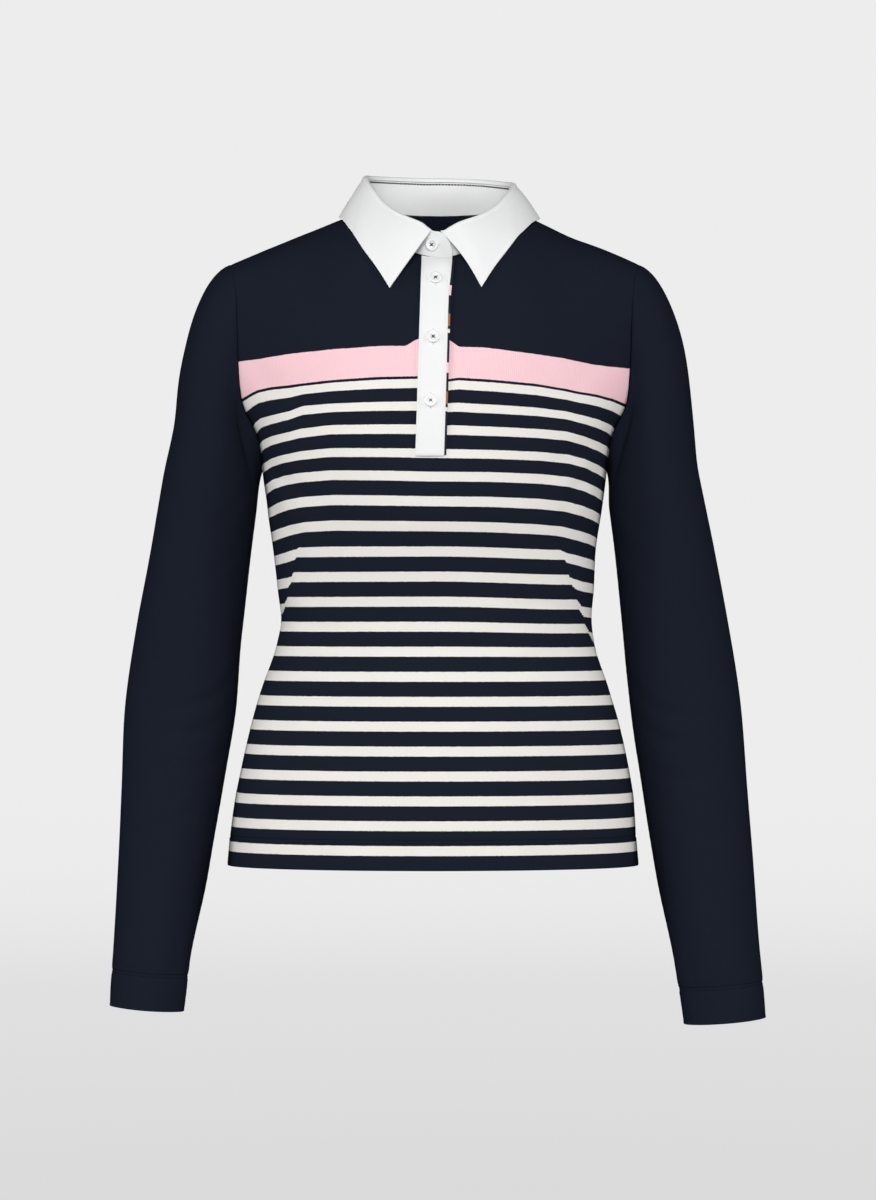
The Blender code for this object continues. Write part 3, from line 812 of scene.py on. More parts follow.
def finish_cloth(cloth, colour, height, strength, depth):
    """Colour times tone, and the height as a bump of a depth in millimetres."""
    graph = cloth.graph
    shade = graph.node("ShaderNodeCombineXYZ", X=cloth.tone, Y=cloth.tone, Z=cloth.tone)
    toned = graph.node("ShaderNodeVectorMath", {"operation": "MULTIPLY"})
    graph.feed(toned.inputs[0], colour if isinstance(colour, bpy.types.NodeSocket) else colour[:3])
    graph.feed(toned.inputs[1], shade.outputs[0])
    graph.feed(cloth.shader.inputs["Base Color"], toned.outputs[0])
    bump = graph.node("ShaderNodeBump", Height=height, Strength=strength, Distance=depth * MM)
    graph.feed(cloth.shader.inputs["Normal"], bump.outputs["Normal"])
    print("finish", cloth.material.name)
    return cloth.material


NAVY = (0.0102, 0.0130, 0.0226, 1.0)
CREAM = (0.815, 0.792, 0.748, 1.0)
PINK = (0.93, 0.605, 0.655, 1.0)
WHITE = (0.815, 0.818, 0.822, 1.0)

# %% [markdown]
# ### Plain navy jersey
#
# The back and the sleeves are plain.  The bump of the loops is shallow and the surface
# rough and dull, because navy cotton swallows nearly all the light that reaches it.

# %% Plain navy jersey
cloth = start_cloth("navy_jersey", 0.85, 0.03)
loops = add_group(cloth.graph, jersey_loops, Across=cloth.across, Along=cloth.along)
navy_jersey = finish_cloth(cloth, NAVY, loops["Height"], 0.35, 0.12)

# %% [markdown]
# ### The striped front
#
# One panel is knitted with the whole pattern.  Along the map its number is the stripe
# count: stripe 1 starts at 1.0, stripe 2 at 2.0, and the cream fills the first part
# of each.  Above stripe 1 come a thin navy line, the pink band and the plain chest.
# A little grain is added to the count, so the edges are slightly uneven, as yarn is.

# %% The striped front
CREAM_SHARE = 0.397
STRIPES = 20
PINK_FROM, PINK_TO = -0.404, 0.882
STRIPE_PITCH = 21.5

cloth = start_cloth("striped_knit", 0.85, 0.04)
graph = cloth.graph
ragged = graph.math("MULTIPLY_ADD", graph.math("SUBTRACT", cloth.grain, 0.5), 0.05, cloth.along)


def between(low, high):
    above = graph.math("GREATER_THAN", ragged, low)
    return graph.math("MULTIPLY", above, graph.math("LESS_THAN", ragged, high))


in_stripe = graph.math("LESS_THAN", graph.math("FRACT", ragged), CREAM_SHARE)
cream = graph.math("MULTIPLY", in_stripe, between(1.0, STRIPES + 0.7))
pink = between(PINK_FROM, PINK_TO)
ribbed = graph.math("LESS_THAN", ragged, PINK_TO)
colour = graph.blend(cream, NAVY, CREAM)
colour = graph.blend(pink, colour, PINK)
ribs = add_group(graph, fine_ribs, Across=cloth.across)
# Painted shade: the colour is darkened in the rib grooves.
groove_shade = graph.math("MULTIPLY", graph.math("MULTIPLY", ribs["Groove Shade"], ribbed), 0.09)
colour = graph.blend(groove_shade, colour, (0.0, 0.0, 0.0, 1.0))
loops = add_group(graph, jersey_loops, Across=cloth.across,
                  Along=graph.math("MULTIPLY", cloth.along, STRIPE_PITCH))
height = graph.math("MULTIPLY_ADD", ribs["Height"], graph.math("MULTIPLY", ribbed, 1.6),
                    graph.math("MULTIPLY", loops["Height"], 0.6))
height = graph.math("MULTIPLY_ADD", cream, 0.9, height)
striped_knit = finish_cloth(cloth, colour, height, 0.4, 0.12)

# %% [markdown]
# ### White cotton
#
# Collar and placket are closely woven white cotton.  Its threads are a third of a
# millimetre apart: two sine waves across each other give the weave its tooth.

# %% White cotton
THREAD_PITCH = 0.36


def woven(cloth):
    waves = [cloth.graph.math("SINE", cloth.graph.math("MULTIPLY", way, math.tau / THREAD_PITCH))
             for way in (cloth.across, cloth.along)]
    return cloth.graph.math("MULTIPLY", *waves)


cloth = start_cloth("white_cotton", 0.8, 0.25, cloud=0.015, fuzz=0.03)
white_cotton = finish_cloth(cloth, WHITE, woven(cloth), 0.25, 0.05)

# %% [markdown]
# ### The facing's bars
#
# Below the placket lies a narrow printed facing of which only an edge shows.  Bars of
# the shirt's own colours, in uneven lengths, cross it.  A colour ramp with constant
# steps holds them.

# %% The facing's bars
RUST = (0.40, 0.14, 0.06, 1.0)
BARS = [(0.00, NAVY), (0.07, PINK), (0.20, NAVY), (0.44, RUST), (0.60, NAVY), (0.64, CREAM),
        (0.69, NAVY)]
BAR_REPEAT = 68.0
BAR_END = 206.0         # plain navy below this

cloth = start_cloth("facing_cotton", 0.8, 0.25, cloud=0.03, fuzz=0.05)
graph = cloth.graph
down = graph.math("MINIMUM", cloth.along, BAR_END)
ramp = graph.node("ShaderNodeValToRGB",
                  Fac=graph.math("FRACT", graph.math("DIVIDE", down, BAR_REPEAT)))
ramp.color_ramp.interpolation = "CONSTANT"
while len(ramp.color_ramp.elements) < len(BARS):
    ramp.color_ramp.elements.new(1.0)
for element, (start, colour) in zip(ramp.color_ramp.elements, BARS):
    element.position = start
    element.color = colour
facing_cotton = finish_cloth(cloth, ramp.outputs["Color"], woven(cloth), 0.25, 0.05)

# %% [markdown]
# ### Thread and buttons
#
# Sewing thread has a twist that catches the light in short slanting marks; the
# shade between its strands is painted into the colour as well as bumped.  The
# buttons are cast resin: smooth, with a clear gloss and the faintest swirl of pearl.

# %% Thread and resin
def thread_finish(name, colour):
    material = plain_material(name, colour[:3], 0.6)
    graph = Graph(material.node_tree)
    place = graph.node("ShaderNodeTexCoord").outputs["Object"]
    twist = graph.node("ShaderNodeTexWave", {"bands_direction": "DIAGONAL"}, Vector=place,
                       Scale=900.0, Distortion=0.6)
    shader = material.node_tree.nodes["Principled BSDF"]
    shader.inputs["Specular IOR Level"].default_value = 0.08
    # Painted shade: the twist darkens the colour between the strands, as well as bumping them.
    graph.feed(shader.inputs["Base Color"], graph.blend(
        graph.math("MULTIPLY", twist.outputs["Fac"], 0.25), colour, (0.0, 0.0, 0.0, 1.0)))
    bump = graph.node("ShaderNodeBump", Height=twist.outputs["Fac"], Strength=0.3,
                      Distance=0.05 * MM)
    graph.feed(shader.inputs["Normal"], bump.outputs["Normal"])
    print("finish", name)
    return material


navy_thread = thread_finish("navy_thread", (0.0025, 0.0032, 0.006, 1.0))
white_thread = thread_finish("white_thread", (0.80, 0.80, 0.80, 1.0))
# Near-black thread for the row inside the neck: its colour is painted shade, the shadow line under
# the collar's fold.
neck_shade_thread = thread_finish("neck_shade_thread", (0.02, 0.02, 0.022, 1.0))

button_resin = plain_material("button_resin", (0.84, 0.84, 0.84), 0.22)
graph = Graph(button_resin.node_tree)
shader = button_resin.node_tree.nodes["Principled BSDF"]
shader.inputs["Specular IOR Level"].default_value = 0.5
shader.inputs["Coat Weight"].default_value = 0.3
swirl = graph.noise(graph.node("ShaderNodeTexCoord").outputs["Object"], 260.0, 3.0)
graph.feed(shader.inputs["Base Color"],
           graph.blend(swirl, (0.80, 0.80, 0.80, 1.0), (0.88, 0.88, 0.885, 1.0)))
graph.feed(shader.inputs["Roughness"], graph.math("MULTIPLY_ADD", swirl, 0.12, 0.18))
print("finish", button_resin.name)

# %% [markdown]
# ## Cutting cloth
#
# A piece of cloth starts as a flat grid.  Each vertex is sent to its place on the
# form, the map "knit" is written while we still know the grid, and then the surface
# is pushed in and out along its normals: folds, seams and hems are only millimetres
# deep, so this is enough.  Solidify gives the sheet its wall last.

# %% Cutting a cloth shell
def cut_cloth(name, across, along, form, pattern, relief, finish, wall,
              leave_out=None, tube=False, outward=False, hem=None, soft_edge=0.35):
    """A cloth piece as an object.  pattern gives the map's two numbers and relief the
    push along the normal in millimetres, each from the point and its two places."""
    work = bmesh.new()
    columns, rows = len(across) - 1, len(along) - 1
    bmesh.ops.create_grid(work, x_segments=columns, y_segments=rows, size=0.5)
    turned = work.verts.layers.deform.verify()
    knit = work.loops.layers.uv.new("knit")
    cell = {vertex: (round((vertex.co.x + 0.5) * columns), round((vertex.co.y + 0.5) * rows))
            for vertex in work.verts}
    if leave_out:
        gone = [face for face in work.faces
                if leave_out(sum(across[cell[v][0]] for v in face.verts) / 4,
                             sum(along[cell[v][1]] for v in face.verts) / 4)]
        bmesh.ops.delete(work, geom=gone, context="FACES")
    place = {}
    for vertex in work.verts:
        i, j = cell[vertex]
        point = form(across[i], along[j])
        place[vertex] = (point, across[i], along[j])
        vertex.co = point * MM
        vertex[turned][0] = 1.0 if hem and hem(along[j]) else 0.0
    for face in work.faces:
        for corner in face.loops:
            corner[knit].uv = pattern(*place[corner.vert])
    if tube:
        bmesh.ops.remove_doubles(work, verts=work.verts, dist=0.001 * MM)
    work.normal_update()
    pushed = [(v, v.co + v.normal * relief(*place[v]) * MM) for v in work.verts]
    for vertex, target in pushed:
        vertex.co = target
    piece = new_object(name, mesh_from(work, name), [finish])
    piece.vertex_groups.new(name="turned_hem")
    solidify = piece.modifiers.new("wall", "SOLIDIFY")
    solidify.offset = 1.0 if outward else -1.0
    solidify.thickness = (HEM_WALL if hem else wall) * MM
    if hem:
        solidify.vertex_group = "turned_hem"
        solidify.thickness_vertex_group = wall / HEM_WALL
    if soft_edge:
        round_edge = piece.modifiers.new("round_edge", "BEVEL")
        round_edge.width = soft_edge * MM
        round_edge.segments = 2
        round_edge.limit_method = "ANGLE"
        round_edge.angle_limit = math.radians(50)
    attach(piece, "root")
    print(name, len(piece.data.polygons), "faces")
    return piece


# %% [markdown]
# ### Folds placed one by one
#
# The shirt hangs almost smooth, but no cloth is without folds.  Each one is a line
# with a width and a depth: a soft trough with a low ridge on each side, which fades
# out towards both ends.  They differ in length, slope and depth, as real ones do.

# %% Folds and unevenness
Fold = namedtuple("Fold", "x0 z0 x1 z1 width depth")


def fold_push(folds, x, z):
    push = 0.0
    for fold in folds:
        dx, dz = fold.x1 - fold.x0, fold.z1 - fold.z0
        length = math.hypot(dx, dz)
        share = ((x - fold.x0) * dx + (z - fold.z0) * dz) / (length * length)
        if not 0 < share < 1:
            continue
        bow = 0.12 * length * math.sin(math.pi * share)
        off = (((x - fold.x0) * dz - (z - fold.z0) * dx) / length - bow) / fold.width
        if abs(off) < 3:
            fade = math.sin(math.pi * share) ** 0.8
            push -= fold.depth * fade * (1 - 1.1 * off * off) * math.exp(-off * off)
    return push


def pucker(place, distance, reach):
    """Small waves beside a seam, of uneven length, that fade away from it."""
    wave = math.sin(place * 0.86 + 1.3 * math.sin(place * 0.21) + 0.9 * math.sin(place * 0.077))
    return 0.22 * wave * math.exp(-distance / reach)


def uneven(point, size, seed):
    return noise.noise(Vector((point.x, point.y, point.z)) / size + Vector((seed, 0, 0)))


print("a fold of 1 mm pushes", round(fold_push([Fold(0, 0, 0, 40, 5, 1.0)], 4.8, 20), 2), "mm")

# %% [markdown]
# ## Where the stripes run
#
# The stripes are level in the middle and fall towards the sides, because the cloth
# goes over the bust.  The table says how many millimetres a stripe has fallen at
# points across the half panel, for stripes at five levels.  Below, a dart on each
# side takes in the fullness: under its line the stripes are level again, so they
# break at the dart.

# %% Stripe levels, falls and darts
CREAM_TOPS = [-154.7, -174.4, -194.3, -215.4, -235.0, -256.1, -277.6, -299.1, -320.7, -342.3,
              -364.0, -385.6, -407.3, -428.9, -450.3, -471.8, -493.3, -514.7, -536.1, -557.5]
UPPER_PITCH = 20.3

FallRow = namedtuple("FallRow", "level share_0 share_20 share_40 share_55 share_65 share_75 "
                                "share_85 share_100")
FALL_RIGHT = [
    FallRow(-330, 0, -0.2, -0.6, 0.2, 2.6, 5.2, 6.2, 7.0),
    FallRow(-278, 0, -0.5, -1.1, -0.1, 2.0, 4.9, 7.2, 9.0),
    FallRow(-235, 0, -1.1, -1.7, 0.0, 1.9, 4.6, 8.0, 11.5),
    FallRow(-194, 0, -0.1, 0.0, 2.4, 5.6, 8.0, 10.6, 15.5),
    FallRow(-174, 0, 0.3, 1.3, 2.8, 7.6, 10.0, 12.0, 18.5),
    FallRow(-155, 0, 0.7, 2.8, 5.1, 6.9, 7.7, 9.8, 17.0),
    FallRow(-126, 0, -0.2, 2.1, 4.0, 5.4, 7.4, 9.2, 10.4),
]
FALL_LEFT = [
    FallRow(-330, 0, 0.3, 1.9, 3.4, 5.8, 8.6, 9.6, 10.5),
    FallRow(-278, 0, 0.5, 2.0, 3.9, 6.8, 9.4, 11.8, 15.0),
    FallRow(-235, 0, 0.2, 1.3, 3.4, 6.4, 10.4, 13.8, 17.5),
    FallRow(-194, 0, 1.7, 3.2, 5.0, 8.4, 12.0, 15.2, 19.0),
    FallRow(-155, 0, 2.8, 5.9, 9.6, 12.4, 14.2, 16.8, 21.5),
    FallRow(-126, 0, 1.2, 5.9, 9.2, 12.2, 14.6, 15.8, 16.6),
]
SHARES = (0.0, 0.20, 0.40, 0.55, 0.65, 0.75, 0.85, 1.0)

DartPoint = namedtuple("DartPoint", "across climb")
DART_RIGHT = [DartPoint(0.60, 0.815), DartPoint(0.64, 0.790), DartPoint(0.69, 0.737),
              DartPoint(0.79, 0.676), DartPoint(0.86, 0.648), DartPoint(1.0, 0.605)]
DART_LEFT = [DartPoint(0.53, 0.815), DartPoint(0.583, 0.787), DartPoint(0.635, 0.727),
             DartPoint(0.712, 0.670), DartPoint(0.819, 0.607), DartPoint(1.0, 0.535)]
BELOW_RIGHT, BELOW_LEFT = 0.3, 2.6      # the fall left under the dart
LEVEL_AGAIN = -410.0                    # and by this height there is none


def upper_fall(across, level):
    rows = FALL_LEFT if across > 0 else FALL_RIGHT
    reach = abs(across)
    high = next((i for i in range(1, len(SHARES)) if SHARES[i] >= reach), len(SHARES) - 1)
    share = ease((reach - SHARES[high - 1]) / (SHARES[high] - SHARES[high - 1]))
    share = mix(share, (reach - SHARES[high - 1]) / (SHARES[high] - SHARES[high - 1]), 0.7)
    low_value, high_value = (smooth(rows, "level", f"share_{round(SHARES[i] * 100)}", level)
                             for i in (high - 1, high))
    return mix(low_value, high_value, share)


def dart_climb(across):
    return smooth(DART_LEFT if across > 0 else DART_RIGHT, "across", "climb", abs(across))


def stripe_level(across, climb, height):
    """Height at the centre front of the stripe that passes through a place."""
    tip = (DART_LEFT if across > 0 else DART_RIGHT)[0]
    reach = 0.0012 if abs(across) > tip.across else 0.05
    above = ease((climb - dart_climb(across) + reach) / (2 * reach))
    below = (BELOW_LEFT if across > 0 else BELOW_RIGHT) * ease(abs(across) / 0.6)
    below *= ease((height - LEVEL_AGAIN) / 60)
    level = height
    for _ in range(3):
        level = height + mix(below, upper_fall(across, level) if above else 0.0, above)
    return level


def stripe_count(level):
    if level >= CREAM_TOPS[0]:
        return 1 - (level - CREAM_TOPS[0]) / UPPER_PITCH
    for number in range(1, len(CREAM_TOPS)):
        if level >= CREAM_TOPS[number]:
            high = CREAM_TOPS[number - 1]
            return number + (high - level) / (high - CREAM_TOPS[number])
    return len(CREAM_TOPS) + (CREAM_TOPS[-1] - level) / STRIPE_PITCH


print("stripes", len(CREAM_TOPS), "count at the hem", round(stripe_count(HEM_HEIGHT), 2))

# %% [markdown]
# ## The body panels
#
# Each panel carries its folds, its seams and its hem.  Where two panels meet, both
# edges roll in by about a millimetre, which draws the thin dark line of a seam.  The
# front has an opening for the placket.  Beside it the pink band spreads, since the
# placket's stitching holds it there.

# %% Relief of a body panel
DARK_ROLL = 0.5         # how far an edge rolls in at a side seam
FINE_ROLL = 0.2         # and at the shoulders and armholes
SIDE_REACH = 205.0      # millimetres in a half panel's width, near its side
HEM_STITCH = 25.0       # the hem's stitches lie this far above its edge
HEM_RIPPLE = 45.0       # and the cloth ripples up to here
TOP_REACH = 190.0       # millimetres in one unit of climb, near the shoulder seam
HOLLOW = (117, 22, 2.2)             # x, width and depth of a shallow dip at the shoulder
FRONT_SEED, BACK_SEED = 1.7, 8.2    # each panel is uneven in its own way

FRONT_FOLDS = [
    Fold(-164, -196, -96, -262, 9, 0.9), Fold(-158, -214, -112, -300, 8, 0.7),
    Fold(160, -200, 88, -250, 10, 0.9), Fold(152, -222, 104, -292, 8, 0.8),
    Fold(-168, -120, -120, -176, 12, 0.8), Fold(166, -126, 112, -170, 12, 0.7),
    Fold(-134, -352, -70, -372, 8, 0.7), Fold(132, -364, 62, -352, 8, 0.7),
    Fold(-128, -388, -40, -400, 10, 0.6), Fold(126, -396, 54, -414, 10, 0.6),
    Fold(-130, -430, -112, -566, 14, 0.8), Fold(-60, -470, -48, -574, 16, 0.6),
    Fold(38, -450, 46, -574, 16, 0.6), Fold(118, -438, 134, -570, 14, 0.8),
    Fold(-70, -70, -110, -150, 16, 0.5), Fold(66, -74, 104, -146, 16, 0.5),
]
BACK_FOLDS = [
    Fold(-160, -190, -70, -232, 10, 1.1), Fold(-156, -214, -84, -280, 9, 0.9),
    Fold(158, -194, 74, -238, 10, 1.1), Fold(150, -220, 92, -284, 9, 0.8),
    Fold(-110, -330, 64, -344, 10, 1.2), Fold(-70, -362, 112, -356, 9, 1.0),
    Fold(-118, -386, 20, -392, 10, 0.9), Fold(-84, -300, -10, -318, 11, 0.7),
    Fold(-92, -420, -104, -568, 15, 0.9), Fold(-10, -436, -4, -572, 17, 0.8),
    Fold(84, -424, 98, -566, 15, 0.9), Fold(-44, -60, -78, -180, 18, 0.6),
    Fold(48, -64, 84, -186, 18, 0.6), Fold(0, -80, 4, -200, 22, 0.5),
]


def seam_roll(distance, place, depth=DARK_ROLL):
    roll = dent(distance, 1.7) + 0.25 * dent(distance, 6.0)
    return pucker(place, distance, 5) * depth - depth * roll


def body_relief(folds, seed, point, across, climb):
    push = fold_push(folds, point.x, point.z) + 0.5 * uneven(point, 70, seed)
    push += 0.12 * uneven(point, 14, seed + 3)
    roll = mix(DARK_ROLL, FINE_ROLL, ease((climb - 0.7) / 0.25))
    push += seam_roll((1 - abs(across)) * SIDE_REACH, point.z, roll)
    if climb > 1.5 and abs(across) > NECK_SHARE:
        push += seam_roll((2 - climb) * TOP_REACH, point.x, FINE_ROLL)
        middle, width, depth = HOLLOW
        push -= depth * dent(point.x - middle, width) * ease((climb - 1.6) / 0.35)
    above_hem = point.z - HEM_HEIGHT
    if above_hem < HEM_RIPPLE:
        push -= 0.5 * dent(above_hem - HEM_STITCH, 1.3)
        push += 0.3 * ease(above_hem / 2) * ease((HEM_STITCH - above_hem) / 2)
        push += pucker(point.x * 0.8, abs(above_hem - HEM_STITCH), 6) * 0.8
        push += 0.55 * math.sin(point.x / 11.5 + seed) * ease(1 - above_hem / HEM_RIPPLE)
    return push


def dart_relief(across, climb):
    tip = (DART_LEFT if across > 0 else DART_RIGHT)[0]
    off = (climb - dart_climb(across)) * (CHEST_HEIGHT - HEM_HEIGHT) * 0.62
    sewn = ease((abs(across) - tip.across) / 0.05)
    return -(0.8 * dent(off, 1.5) + 0.35 * dent(off, 5)) * sewn


print("folds on front and back:", len(FRONT_FOLDS), len(BACK_FOLDS))

# %% [markdown]
# The grid is finest where something happens: beside the opening, at the sides and in
# the hem.  The pattern's number along the front is the stripe count, and the back's
# is plain millimetres, because its cloth is plain.

# %% Front and back
PINK_SPREAD = 9.2       # the band spreads by this beside the placket,
SPREAD_REACH = 10.5     # and no more this far away
PINK_MIDDLE = -140.0
PINK_RISE = 14.0        # this far from its middle it spreads fully,
PINK_FADE = 34.0        # and the stripes beyond it follow less and less
PINK_MORE = 1.2         # it spreads more on the wearer's left,
PINK_DIP = -0.27        # where its lower edge dips too
PLACKET_SIDES = (-17.0, 7.2)        # the placket's edges at the pink band
SIDE_DIP = (1.0, 6.0, 1.6)          # place, width and depth of the dip beside it


def row_places(hem_rows, body_rows, upper_rows):
    heights = steps(HEM_HEIGHT, HEM_HEIGHT + BODY_HEM + 3, hem_rows)
    heights += steps(heights[-1], CHEST_HEIGHT, body_rows)[1:]
    climbs = [(h - HEM_HEIGHT) / (CHEST_HEIGHT - HEM_HEIGHT) for h in heights]
    return climbs + [1 + upper_rise(i / upper_rows) for i in range(1, upper_rows + 1)]


def both_ways(half):
    return [-value for value in reversed(half[1:])] + half


def pink_spread(x, level):
    """The band widens beside the placket: its top rises, and on one side its lower
    edge dips."""
    left, right = (max(1 - abs(x - side) / SPREAD_REACH, 0.0) for side in PLACKET_SIDES)
    off = level - PINK_MIDDLE
    if off > 0:
        share = max(left, PINK_MORE * right) * min(off / PINK_RISE, 1.0)
    else:
        share = right * max(off / PINK_RISE, PINK_DIP)
    return PINK_SPREAD * share * dent(off, PINK_FADE)


def front_pattern(point, across, climb):
    level = stripe_level(across, climb, point.z)
    return across * HALF_PANEL, stripe_count(level - pink_spread(point.x, level))


def placket_side(share):
    """Where the placket's edge on the wearer's left lies; the cloth dips beside it."""
    return mix(PLACKET_FOOT_X, PLACKET_TOP_X, share) + PLACKET_WIDTH / 2


def front_relief(point, across, climb):
    push = body_relief(FRONT_FOLDS, FRONT_SEED, point, across, climb)
    if climb < 1:
        return push + dart_relief(across, climb)
    side = placket_side((point.z - PLACKET_FOOT) / PLACKET_LENGTH)
    place, width, depth = SIDE_DIP
    return push - depth * dent(point.x - side - place, width) * ease(
        (point.z - PLACKET_FOOT) / 14)


def placket_gap(across, climb):
    return abs(across) < CUT_OUT and climb > GAP_FOOT


def in_body_hem(climb):
    return climb <= BODY_HEM / (CHEST_HEIGHT - HEM_HEIGHT)


half = steps(0, CUT_OUT, 4) + steps(CUT_OUT, NECK_SHARE, 30)[1:]
half += steps(NECK_SHARE, EDGE, 42)[1:] + steps(EDGE, 1.0, 4)[1:]
climbs = row_places(14, 128, 84)
GAP_FOOT = 1 + upper_rise(1 / 12)
climbs = sorted(set(climbs) - {min(climbs, key=lambda c: abs(c - GAP_FOOT))} | {GAP_FOOT})
front_cloth = cut_cloth(
    "front_cloth", both_ways(half), climbs, lambda across, climb: body_form(-1, across, climb),
    front_pattern, front_relief, striped_knit, WALL, leave_out=placket_gap,
    hem=in_body_hem)
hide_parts("front")

half = steps(0, EDGE, 58) + steps(EDGE, 1.0, 4)[1:]
back_cloth = cut_cloth(
    "back_cloth", both_ways(half), row_places(14, 96, 60),
    lambda across, climb: body_form(1, -across, climb),
    lambda point, across, climb: (across * HALF_PANEL, point.z),
    lambda point, across, climb: body_relief(BACK_FOLDS, BACK_SEED, point, -across, climb),
    navy_jersey, WALL, hem=in_body_hem)
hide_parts("back")

# %% [markdown]
# ## The sleeves
#
# A sleeve is the same grid closed to a tube under the arm.  Its folds are placed by
# how far round the arm they lie and by height: drag lines at the underarm, short
# ones in the bend of the elbow, and a slight fullness above the cuff.

# %% Sleeves
ROUND = 145.0           # millimetres in half the way round a sleeve
CAP_REACH = 95.0        # and in one unit of along, beside the armhole
CUFF_REACH = 60.0       # the cuff's relief ends this far above its edge,
CUFF_RIPPLE = 50.0      # and its ripples a little lower
SLEEVE_FOLDS = [        # x is the way round from the underarm seam, by the front
    Fold(20, -235, 96, -292, 9, 0.35), Fold(14, -262, 74, -330, 8, 0.4),
    Fold(270, -240, 200, -300, 9, 1.2), Fold(276, -270, 222, -338, 8, 0.9),
    Fold(12, -404, 92, -440, 8, 1.1), Fold(20, -440, 84, -462, 7, 1.0),
    Fold(8, -476, 98, -486, 8, 0.9), Fold(30, -510, 106, -548, 9, 0.6),
    Fold(210, -420, 280, -446, 8, 0.9), Fold(200, -470, 284, -474, 9, 0.8),
    Fold(60, -600, 40, -690, 10, 0.6), Fold(120, -560, 132, -672, 14, 0.5),
    Fold(226, -590, 214, -684, 12, 0.6), Fold(160, -90, 138, -200, 18, 0.5),
]


ARM_SHAPE = {           # height, width and depth of the upper arm's outer swell
    -1: [(-190, 32, -3.0)],
    1: [(-133, 42, 3.2), (-222, 24, -1.7)],
}
INNER_SHAPE = (-212, 24, 1.8)       # and of the swell on its inner side


def sleeve_relief(arm, cuff, point, place, along):
    way = place * ROUND
    seed = 4.4 if arm > 0 else 6.1
    lift = 9.0 if arm > 0 else 0.0
    push = fold_push(SLEEVE_FOLDS, way, point.z + lift) + 0.55 * uneven(point, 60, seed)
    under = min(place, 2 - place) * ROUND
    push += seam_roll(under, point.z, DARK_ROLL) * ease((-250 - point.z) / 60)
    inside, outside = max(math.cos(place * math.pi), 0), max(-math.cos(place * math.pi), 0)
    height, width, bulge = INNER_SHAPE
    push += bulge * dent(point.z - height, width) * inside
    for height, width, bulge in ARM_SHAPE[arm]:
        push += bulge * dent(point.z - height, width) * outside
    if along < 1:
        push += seam_roll(along * CAP_REACH, way, FINE_ROLL)
    above_cuff = point.z - cuff + CUFF_TILT * (point.x - SLEEVE_CENTRE[arm]) * -arm
    if above_cuff < CUFF_REACH:
        push -= 0.8 * dent(above_cuff - SLEEVE_HEM, 2.4)
        push -= 0.25 * ease(above_cuff / 2) * ease((SLEEVE_HEM - above_cuff) / 2)
        push += 0.35 * math.sin(way / 9.0 + seed) * ease(1 - above_cuff / CUFF_RIPPLE)
    return push


SLEEVE_CENTRE = {-1: SLEEVE_RIGHT[0].centre, 1: SLEEVE_LEFT[0].centre}
ARMS = (("sleeve_right", -1, SLEEVE_RIGHT), ("sleeve_left", 1, SLEEVE_LEFT))
sleeves = {}
for node, arm, rows in ARMS:
    length = rows[-1].height - rows[0].height
    hem_start = 2 - SLEEVE_HEM / length
    cuff = rows[0].height

    def form(place, along, rows=rows, arm=arm):
        return sleeve_form(rows, arm, place if arm > 0 else 2 - place, along)

    def relief(point, place, along, arm=arm, cuff=cuff):
        return sleeve_relief(arm, cuff, point, place if arm > 0 else 2 - place, along)

    sleeves[arm] = cut_cloth(
        node + "_cloth", list(reversed(steps(0, 2, 104))),
        steps(0, 1, 30) + steps(1, hem_start, 112)[1:] + steps(hem_start, 2, 14)[1:],
        form, lambda point, place, along: (place * ROUND, point.z), relief, navy_jersey, WALL,
        tube=True, hem=lambda along, start=hem_start: along >= start)
    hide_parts(node)

# %% [markdown]
# ## The collar
#
# The stand is a strip that runs once round the neck and a little further, so that its
# ends lap.  The leaf is a second strip: it rises inside, turns over in a tight roll
# and falls.  Both are crisp cotton, so they have only a trace of unevenness.

# %% Collar stand and leaf
NECK_ROUND = 400.0      # millimetres round the neck, for the weave's map
LEAF_FALL = 46.0
LEAF_MEET = 1.2         # the stand's top rises by this to meet the leaf's front edge
CORNER_DROP = 4.0       # the front corner of its closing end hangs lower by this


def collar_relief(point, turn, share):
    return 0.22 * uneven(point, 34, 2.2) - 0.5 * dent(share * 30, 1.5)


def leaf_relief(point, turn, share):
    fall = max(share - 1, 0.0)
    ends = min(abs(turn + LEAF_START), abs(turn + 360 - LEAF_END))
    push = 0.5 * uneven(point, 38, 5.5) * ease(fall * 3) * ease(ends / 12)
    return push - 0.25 * dent((1 - fall) * LEAF_FALL, 2.0)


def stand_cloth_form(turn, share):
    rise = LEAF_MEET * share * dent(turn + 5, 5)
    drop = CORNER_DROP * (1 - share) * ease((turn + 11) / 18)
    return stand_form(turn, share) + Vector((0, 0, rise - drop))


stand_cloth = cut_cloth(
    "collar_stand_cloth", steps(UNDER_END, OVER_END, 250), steps(0, 1, 12), stand_cloth_form,
    lambda point, turn, share: (turn / 360 * NECK_ROUND, share * 26),
    collar_relief, white_cotton, BAND_WALL, soft_edge=0.4)
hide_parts("collar_stand")

fold = [0.0, 0.02] + steps(0.1, 1, 12) + steps(1, 2, 30)[1:]
leaf_cloth = cut_cloth(
    "collar_leaf_cloth", steps(-LEAF_START, LEAF_END - 360, 230), fold, leaf_form,
    lambda point, turn, share: (turn / 360 * NECK_ROUND, share * LEAF_FALL),
    leaf_relief, white_cotton, BAND_WALL, soft_edge=0.45)
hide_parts("collar_leaf")

# %% [markdown]
# ## The placket
#
# The band lies on the front, a straight strip with folded edges.  Its facing shows as
# a sliver along one side, for which a narrow strip of its own lies beside the band.
# A folded edge is rounder than a cut one, so the band's relief drops towards its edges.

# %% Placket band and facing
FLARE = 2.2             # the band widens by this at its top, on the side that closes


